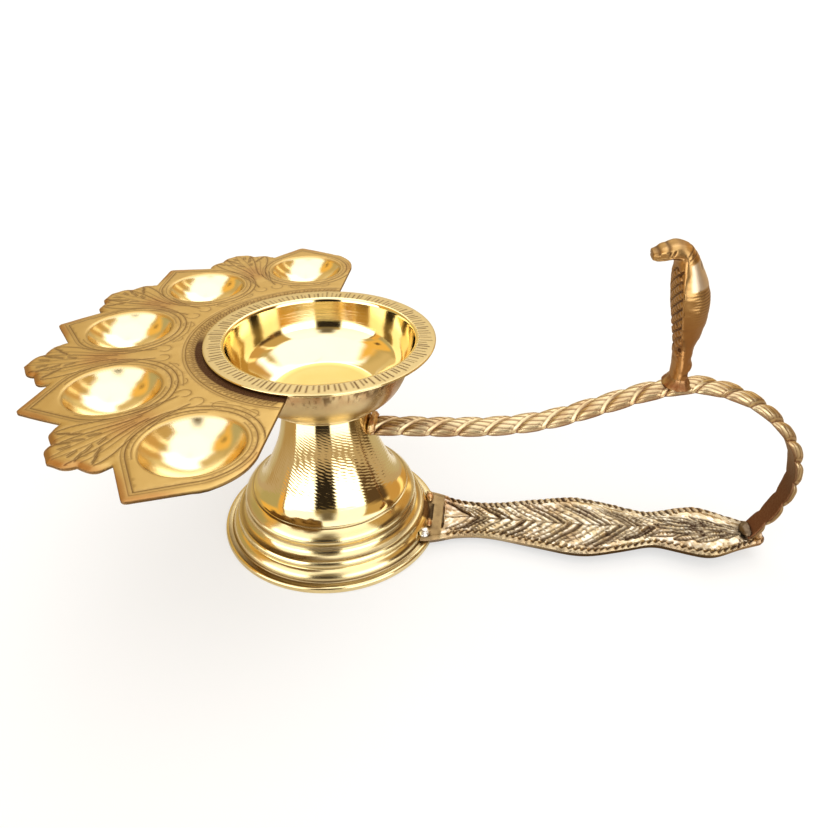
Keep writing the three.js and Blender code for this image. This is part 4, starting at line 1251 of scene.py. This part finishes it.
def build_handle():
    relief = handle_relief()
    rings = 430
    xs = np.linspace(HANDLE_START, TIP_X + 1.6, rings)[:, None]
    w = handle_half(xs)
    top = handle_top(xs)
    bottom = top - HANDLE_T
    y_top = np.sin(np.linspace(-1, 1, TOP_POINTS) * TOP_TURN) / math.sin(TOP_TURN) * (w - 0.1)
    x_top = warped(xs, y_top)
    border = np.minimum(BORDER_W, w * 0.42)
    d = w - np.abs(y_top)
    field = np.maximum(w - border, 0.5)
    patterned = smooth(x_top, FOOT_R + 1.9, FOOT_R + 2.6)
    bead = -0.85 + 0.85 * smooth(d, -0.1, 1.0)
    sunk = -(0.35 + 0.35 * patterned) * smooth(d, border - 1.1, border)
    crown = 0.34 * share_of(1 - (np.abs(y_top) / field) ** 2) * patterned
    swelling = np.maximum(near(x_top, FOOT_R + 56, 17), near(x_top, FOOT_R + 106, 12))
    band = swelling * (y_top > 0) * np.exp(-(((d - border - 1.6) / 1.3) ** 4))
    calm = 1 - 0.85 * share_of(band)
    x_read = x_top + 0.55 * noise(x_top, y_top, 56, 5.0) * patterned
    y_read = y_top + 0.4 * noise(x_top, y_top, 57, 3.6) * patterned * smooth(d, border, border + 1)
    cut, dirt = relief.read(x_read, y_read)
    lumps = 0.13 * noise(x_top, y_top, 51, 2.6) + 0.11 * noise(x_top, y_top, 52, 1.0)
    z_top = top + bead + sunk + crown + 0.34 * band + (cut * calm + lumps) * patterned - 0.12
    z_top = np.minimum(z_top, top - 0.01)
    dirt = share_of(dirt * patterned * calm + 0.3 * patterned * smooth(lumps, 0.0, -0.12))
    # painted shade in the slit at the root, and the painted shadow of the arm's end on the handle near
    # the tip
    slit_shade = smooth(np.abs(y_top - SLIT_Y), 5.6, 5.0) * smooth(x_top, SLIT_END_X + 0.5, SLIT_END_X)
    arm_end_shadow = 0.95 * near(x_top, TIP_X - 5.5, 3.2) * near(y_top, 1.0, 4.5)
    worn_root = (1 - patterned) * (0.32 + 0.15 * noise(x_top, y_top, 58, 2.0))
    dirt = np.maximum.reduce([dirt, slit_shade, arm_end_shadow, worn_root])
    over_foot = FOOT_LIP + GAP + 0.05
    share = np.linspace(0, 1, SIDE_POINTS + 2)[None, 1:-1]
    side_y = w - 0.18 * (2 * share - 1) ** 4 - 0.35 * smooth(share, 0.2, 0.0)
    low = np.maximum(bottom, np.where(xs < FOOT_R + 3, over_foot, -1)) + 0.35
    side_z = low + (top - 0.95 - low) * share
    low_y = np.linspace(1, -1, UNDER_POINTS) * (w - 0.6)
    x_low = warped(xs, low_y)
    over = np.hypot(x_low, low_y) < FOOT_R + GAP + 0.1
    low_z = np.where(over, np.maximum(bottom, over_foot), bottom)
    y = np.hstack([y_top, side_y[:, ::-1], low_y, -side_y])
    z = np.hstack([z_top, side_z[:, ::-1], low_z, side_z])
    x_side = warped(xs, side_y)
    x = np.hstack([x_top, x_side, x_low, warped(xs, -side_y)])
    all_dirt_and_shade = 0.12 + 0.2 * share_of(noise(x, z * 3, 53, 1.6))
    all_dirt_and_shade[:, :TOP_POINTS] = dirt
    all_dirt_and_shade[:, TOP_POINTS + SIDE_POINTS:-SIDE_POINTS] = 0.4
    past_foot = x - FOOT_R
    root_stain = smooth(past_foot, 16, 2) * smooth(past_foot, 1, 3) * smooth(y, 0, 4)
    stain = np.maximum.reduce([
        0.22 * smooth(noise(x, y, 54, 7.0), -0.1, 0.7) + 0.5 * smooth(x, TIP_X - 6, TIP_X),
        0.6 * root_stain,
        0.4 * smooth(past_foot, 2.4, 1.6),
    ])
    # painted glints: pale highlights painted along the veins, which run out and towards the tip from
    # the middle line
    over_veins = x_top + np.abs(y_top)
    painted_glints = smooth(noise((x_top - np.abs(y_top)) * 0.5, over_veins * 1.3, 55, 1.5), 0.0, 0.4)
    painted_glints *= (1 - share_of(2 * dirt)) * patterned * (d > border)
    # on the smooth raised band by the far border, a painted highlight up to about FOOT_R + 48 and none
    # beyond it
    painted_glints = np.where(calm < 0.5, smooth(x_top, FOOT_R + 52, FOOT_R + 44), painted_glints)
    painted_highlight = np.zeros_like(y)
    painted_highlight[:, :TOP_POINTS] = 0.85 * painted_glints
    plain = np.zeros_like(y)
    plain[:, :TOP_POINTS] = 0.9 * (1 - patterned)
    fields = {
        "dirt": (all_dirt_and_shade, 0.3, 0.3),
        "stain": (stain, 0, 0),
        "painted_highlight": (painted_highlight, 0, 0),
        "satin": (plain, 0, 0),
    }
    piece = loft("handle_cast", np.stack([x, y, z], axis=-1), fields, flip=True)
    return install(piece, BRASS["cast"], "cast_brass", "handle")


# ---------------------------------------------------------------- cobra
def displaced(grid, heights):
    """Moves a grid of rings out along its own normals; rings run along the first axis."""
    around = np.roll(grid, -1, axis=1) - np.roll(grid, 1, axis=1)
    normal = unit(np.cross(around, np.gradient(grid, axis=0)))
    middle = grid.mean(axis=1, keepdims=True)
    outward = np.sign(np.sum(normal * (grid - middle), axis=(1, 2)))[:, None, None]
    return grid + normal * outward * heights[..., None]


def build_fillet(grid, high):
    """The brazing that the cobra's foot flows into, from rings of the cobra and their heights."""
    levels = np.linspace(0.9, 5.4, 26)
    high, low = high[:60], grid[:60]
    rings = np.array([
        [[np.interp(level, high, low[:, k, axis]) for axis in range(3)] for k in range(low.shape[1])]
        for level in levels
    ])
    outward = unit(rings - rings.mean(axis=1, keepdims=True))
    share = np.linspace(0, 1, len(levels))[:, None]
    spread = 1.7 * (1 - share) ** 2.2 - 0.12
    spread = spread + 0.3 * (1 - share) * noise(rings[..., 0] * 2, rings[..., 1] * 2, 65, 2.0)
    burnt = share_of(0.55 + 0.4 * noise(rings[..., 1], rings[..., 2] * 1.5, 66, 1.6))
    fields = {"stain": (burnt, 0, 0), "dirt": (0.5 * burnt, 0, 0)}
    piece = loft("cobra_braze_flowed", rings + outward * spread[..., None], fields)
    return install(piece, BRASS["braze"], "braze", "cobra_braze")


def build_cobra():
    middle = arm_route(3000)[0]
    foot = middle[np.argmax(middle[:, 0] >= TIP_X - COBRA_BACK)]
    # the chest is fuller than the CAD's, and the head is longer and lower, as in the photograph
    stations = np.array(COBRA, float)
    stations[2:9, 0] -= (0.6, 1.0, 1.2, 1.2, 1.1, 0.9, 0.5)
    stations[-4:, 4] = (5.4, 4.7, 4.0, 3.2)
    stations[-3:, 1] = (45.0, 44.6, 44.9)
    rings = 300
    count = 120
    t = np.linspace(0, 1, rings)
    front = centripetal(stations[:, 0:2], t) + foot
    back = centripetal(stations[:, 2:4], t) + foot
    half, widest = centripetal(stations[:, 4:6], t).T[:, :, None]
    length = np.linalg.norm(back - front, axis=1)[:, None]
    backwards = (back - front) / length
    a = np.linspace(0, 2 * math.pi, count, endpoint=False)[None, :]
    ahead = np.sin(a)
    aside = np.cos(a)
    reach = np.where(ahead > 0, widest, 1 - widest) * length
    boxy = 1 - 0.42 * smooth(t, 0.66, 0.8)[:, None]
    off = widest * length - reach * np.sign(ahead) * np.abs(ahead) ** boxy
    y = half * np.sign(aside) * np.abs(aside) ** boxy
    x = front[:, :1] + backwards[:, :1] * off
    z = front[:, 1:] + backwards[:, 1:] * off
    high = (front[:, 1:] + back[:, 1:]) / 2 - foot[1] + 0 * a
    nose = t[:, None] + 0 * a

    # the chest's braid, and holes worn or cast in it
    chest = smooth(ahead, 0.02, 0.22) * smooth(high, 9, 15) * smooth(high, 45.5, 43.5)
    chest = chest * (np.abs(y) < half * 0.93)
    across, up = y / BRAID[0], high / BRAID[1]
    woven = np.abs(np.sin(math.pi * (across + up)) * np.sin(math.pi * (across - up)))
    seams = (1 - smooth(woven, 0.08, 0.65)) * chest * (0.35 + 0.65 * smooth(high, 14, 24))
    holes = 0.9 * chest * smooth(noise(y, high, 62, 2.2), 0.45, 0.75) * smooth(high, 33, 28)

    # the back's hatching below and above its flat facet, which is painted pale as a highlight, and a
    # pit in the facet
    hatch_low = smooth(high, 24, 36) * smooth(high, 37.4, 36.8) * smooth(ahead, -0.25, -0.5)
    hatch_high = smooth(high, 45.4, 46.0) * smooth(high, 49.5, 48.5)
    ticks = (0.5 + 0.5 * np.cos(2 * math.pi * high / HATCH_PITCH)) ** 3
    ticks = ticks * smooth(ahead, 0.0, -0.2) * np.maximum(hatch_low, hatch_high)
    block = smooth(ahead, -0.2, -0.34) * smooth(high, 37.4, 38.0) * smooth(high, 45.4, 44.8)
    pit = near(high, 43.2, 1.2) * smooth(ahead, -0.8, -0.9) * (y < 0)

    # a bump and a notch low on the back, the mouth, and the eye and the nostril
    bump = near(high, 8.2, 1.5) * smooth(ahead, -0.3, -0.8)
    notch = near(high, 5.8, 0.6) * smooth(ahead, 0.1, -0.4)
    mouth = near(ahead, 0.32, 0.12) * smooth(nose, 0.80, 0.86)
    eye = np.maximum(near(nose, 0.835, 0.010), near(nose, 0.80, 0.008))
    eye = eye * near(ahead, -0.05, 0.16) * (np.abs(aside) > 0.5)

    lumps = 0.12 * noise(x, z, 63, 2.4) + 0.06 * noise(y, z, 64, 1.1)
    raised = lumps * (1 - 0.8 * block) + 0.7 * bump + 0.75 * smooth(high, 4.5, 0.8)
    cut = 0.8 * seams + 0.11 * ticks + 0.5 * pit + 0.3 * notch + 0.35 * mouth + 0.28 * eye
    # painted shade under the head, in the dirt and the stain
    under_head_shade = smooth(nose, 0.72, 0.78) * smooth(nose, 0.97, 0.92) * smooth(ahead, 0.45, 0.9)
    darkened = seams * (0.8 + 0.2 * noise(y, high, 61, 3.0))
    marks = [darkened, 0.75 * ticks, holes, 0.8 * mouth, eye, 0.7 * pit, 0.6 * notch]
    # darker at the foot where it meets the brazing: dirt of the joint and painted shade
    foot_dirt_and_shade = 0.75 * smooth(high, 3.5, 0.5)
    dirt = share_of(np.maximum.reduce([*marks, foot_dirt_and_shade, 0.6 * under_head_shade]))
    stain = 0.35 + 0.35 * smooth(high, 34, 12) + 0.4 * smooth(high, 5, 1)
    stain = stain * (1 - block) * smooth(nose, 0.86, 0.78) + 0.25 * under_head_shade
    stain = share_of(stain - 0.25 * smooth(ahead, 0.1, -0.1) * smooth(high, 24, 34))
    grid = displaced(np.stack([x, y, z], axis=-1), raised - cut - 0.12)
    build_fillet(grid, high.mean(axis=1))
    keep = 9
    fields = {
        "dirt": (dirt[keep:], 0.8, 0.2),
        "stain": (stain[keep:], 0.5, 0),
        "painted_highlight": (0.55 * block[keep:], 0, 0),
    }
    piece = loft("cobra_cast", grid[keep:], fields)
    return install(piece, BRASS["cobra"], "cobra_brass", "cobra")


# ---------------------------------------------------------------- scene
FRONT = -84.5  # azimuth towards the camera's side, from +X towards +Y

# Azimuth from FRONT, half width, softness and colour of what the polished sides mirror of the table
MIRRORED_TABLE = [
    (-45, 25, 2, (2.5, 2.48, 2.35)),
    (38, 23, 2, (2.5, 2.5, 2.45)),
    (-76, 4, 2, (0.95, 0.5, 0.12)),
    (-70.5, 1.1, 0.7, (0.2, 0.08, 0.02)),
    (86, 24, 4, (0.14, 0.09, 0.045)),
    (-92, 20, 5, (0.5, 0.34, 0.16)),
    (-3, 17, 2, (0.015, 0.012, 0.01)),
]
# Distances from the stand between which the mirrored table appears, and turns into its far part
MIRRORED_FROM = (0.065, 0.10)
MIRRORED_FAR = (0.150, 0.175)


def direction_mask(direction, azimuth, elevation, half_width, half_height, soft):
    """1 in a soft-edged patch of the surroundings; angles in degrees, azimuth from +X towards +Y."""
    x, y, z = direction.parts()
    flat = (x * x + y * y).math("SQRT").math("MAXIMUM", 1e-5)
    a = math.radians(azimuth)
    away = (x * math.cos(a) + y * math.sin(a)).math("DIVIDE", flat).math("ARCCOSINE")
    off = (z.math("ARCTAN2", flat) - math.radians(elevation)).math("ABSOLUTE")

    def inside(value, half):
        return value.step(math.radians(half + soft), max(0.0, math.radians(half - soft)))

    return inside(away, half_width) * inside(off, half_height)


def build_stage():
    """A pale floor, which the lamp's polished sides mirror as the photograph's table."""
    size = 12.0
    data = bpy.data.meshes.new("floor")
    corners = [(-size, -size, 0), (size, -size, 0), (size, size, 0), (-size, size, 0)]
    data.from_pydata(corners, [], [(0, 1, 2, 3)])
    floor = bpy.data.objects.new("floor", data)
    floor.location.z = -0.0001
    bpy.context.scene.collection.objects.link(floor)
    material, tree, shader = new_material("pale_floor")
    shader.inputs["Base Color"].default_value = (0.9, 0.9, 0.895, 1)
    shader.inputs["Roughness"].default_value = 0.9
    shader.inputs["Specular IOR Level"].default_value = 0.1
    from_lamp = node(tree, "ShaderNodeTexCoord", output="Object")
    from_lamp = from_lamp.vector("SUBTRACT", i1=(AXIS_X * MM, 0, 0))
    mirrored = (0.60, 0.50, 0.32)
    for azimuth, half, soft, tint in MIRRORED_TABLE:
        mirrored = direction_mask(from_lamp, FRONT + azimuth, 0, half, 40, soft).mix(mirrored, tint)
    away = from_lamp.vector("LENGTH", 1)
    mirrored = away.step(*MIRRORED_FAR).mix(mirrored, (0.58, 0.44, 0.29))
    image = node(tree, "ShaderNodeEmission", Color=mirrored, Strength=1.0)
    white = node(tree, "ShaderNodeEmission", Color=(1, 1, 1, 1), Strength=1.0)
    seen = node(tree, "ShaderNodeLightPath", output="Is Camera Ray") * 0.62
    share = away.step(*MIRRORED_FROM) * node(tree, "ShaderNodeLightPath", output="Is Glossy Ray")
    paler = seen.node("ShaderNodeMixShader", i1=Value(tree, shader.outputs[0]), i2=white)
    shown = share.node("ShaderNodeMixShader", i1=paler, i2=image)
    tree.links.new(shown.socket, tree.nodes["Material Output"].inputs["Surface"])
    data.materials.append(material)


# Softboxes, flags and walls round the lamp: azimuth from FRONT, elevation, half width, half height,
# softness, radiance
SURROUNDINGS = [
    (0, 0, 180, 12, 4, (0.62, 0.49, 0.27)),
    (0, 82, 180, 31, 4, (1.75, 1.75, 1.73)),
    (180, 45, 46, 17, 4, (2.3, 2.3, 2.27)),
    (180, 24, 50, 8, 4, (0.85, 0.66, 0.32)),
    (-45, 20, 25, 45, 2, (1.7, 1.68, 1.62)),
    (38, 20, 23, 45, 2, (1.7, 1.68, 1.62)),
    (-3, 48, 24, 16, 3, (1.7, 1.68, 1.62)),
    (-45, 0, 25, 22, 2, (3.4, 3.38, 3.3)),
    (38, 0, 23, 22, 2, (3.4, 3.38, 3.3)),
    (-98, 2, 18, 24, 5, (0.52, 0.44, 0.22)),
    (-76, 2, 4, 32, 2, (0.95, 0.52, 0.12)),
    (-70.5, 2, 1.1, 32, 0.7, (0.22, 0.08, 0.02)),
    (-97, 41, 17, 17, 4, (1.0, 0.58, 0.13)),
    (-92, 38, 4, 4, 3, (0.08, 0.05, 0.03)),
    (-138, 42, 17, 12, 5, (0.75, 0.55, 0.26)),
    (92, 24, 28, 26, 5, (0.62, 0.40, 0.15)),
    (104, 32, 4, 20, 2, (1.9, 1.6, 1.0)),
    (86, 8, 24, 14, 4, (0.12, 0.07, 0.035)),
    (128, 12, 26, 26, 5, (0.66, 0.38, 0.12)),
    (134, 14, 4, 20, 3, (1.5, 1.15, 0.55)),
    (-1, 36, 13, 14, 8, (0.20, 0.16, 0.11)),
    (-3, -4, 17, 27, 3, (0.03, 0.022, 0.015)),
]


def build_world():
    world = bpy.data.worlds.new("studio")
    bpy.context.scene.world = world
    world.use_nodes = True
    tree = world.node_tree
    background = tree.nodes["Background"].inputs
    direction = node(tree, "ShaderNodeTexCoord", output="Generated")
    colour = (0.60, 0.44, 0.19)
    for azimuth, elevation, width, height, soft, tint in SURROUNDINGS:
        mask = direction_mask(direction, FRONT + azimuth, elevation, width, height, soft)
        colour = mask.mix(colour, tint)
    colour = node(tree, "ShaderNodeLightPath", output="Is Camera Ray").mix(colour, (1, 1, 1))
    tree.links.new(colour.socket, background["Color"])
    background["Strength"].default_value = 1.0


def build_camera():
    """The photograph's camera, from the fit to the lamp's rim, foot, cups and handle."""
    elevation, roll, turn = np.radians([32.67, -0.69, 5.5])
    centre = np.array([33.99, 42.92, 291.11])
    focal_pixels = 690.27
    photo_pixels = 828
    right = np.array([1.0, 0, 0])
    back = np.array([0, -math.cos(elevation), math.sin(elevation)])
    up = np.cross(back, right)
    rolled = np.array([
        math.cos(roll) * right - math.sin(roll) * up,
        math.sin(roll) * right + math.cos(roll) * up,
        back,
    ])
    c, s = math.cos(turn), math.sin(turn)
    axes = rolled @ np.array([[c, s, 0], [-s, c, 0], [0, 0, 1]])
    matrix = np.eye(4)
    matrix[:3, :3] = axes.T
    matrix[:3, 3] = (axes.T @ centre + [AXIS_X, 0, 0]) * MM
    data = bpy.data.cameras.new("camera")
    data.sensor_width = 36
    data.lens = focal_pixels / photo_pixels * data.sensor_width
    data.clip_start = 0.01
    data.clip_end = 50
    camera = bpy.data.objects.new("camera", data)
    bpy.context.scene.collection.objects.link(camera)
    camera.matrix_world = Matrix(matrix.tolist())
    bpy.context.scene.camera = camera


build_camera()
build_stage()
build_world()
build_stand()
build_bowl()
build_arm()
build_plate()
build_handle()
build_cobra()

LOOKS = {
    "bowl_stud": ZINC,
    "stud_washer": ZINC,
    "stud_nut": ZINC,
    "handle_solder_near": SOLDER,
    "arm_braze_handle": BURNT_AND_SHADED,
    "fan_plate": BRASS["engraved"],
    "handle": BRASS["cast"],
    "rope_arm": BRASS["rope"],
    "cobra": BRASS["cobra"],
}
# Lumps of brazing and solder with their voxel sizes; a finer one breaks the last one's thin edge
LUMPS = {
    "plate_braze_near": 0.0003,
    "plate_braze_far": 0.0003,
    "handle_solder_near": 0.0003,
    "handle_braze_near": 0.0003,
    "handle_braze_far": 0.0003,
    "arm_braze_neck": 0.0003,
    "arm_braze_handle": 0.00035,
}
LUMP_CLOUDS = bpy.data.textures.new("lump_clouds", "CLOUDS")
LUMP_CLOUDS.noise_scale = 0.0016
for name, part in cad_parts.items():
    part.data.materials.clear()
    part.data.materials.append(LOOKS.get(name, BRASS["braze"]))
    if name in LUMPS:
        remesh = part.modifiers.new("even_skin", "REMESH")
        remesh.voxel_size = LUMPS[name]
        remesh.use_smooth_shade = True
        flowed = part.modifiers.new("flowed", "SMOOTH")
        flowed.factor = 0.5
        flowed.iterations = 8
        uneven = part.modifiers.new("uneven", "DISPLACE")
        uneven.texture = LUMP_CLOUDS
        uneven.texture_coords = "LOCAL"
        uneven.strength = 0.0005
        uneven.mid_level = 0.75
    elif name in ("bowl_stud", "stud_washer", "stud_nut"):
        eased = part.modifiers.new("eased_edges", "BEVEL")
        eased.width = 0.00015
        eased.segments = 2

bpy.context.scene.view_settings.view_transform = "Standard"
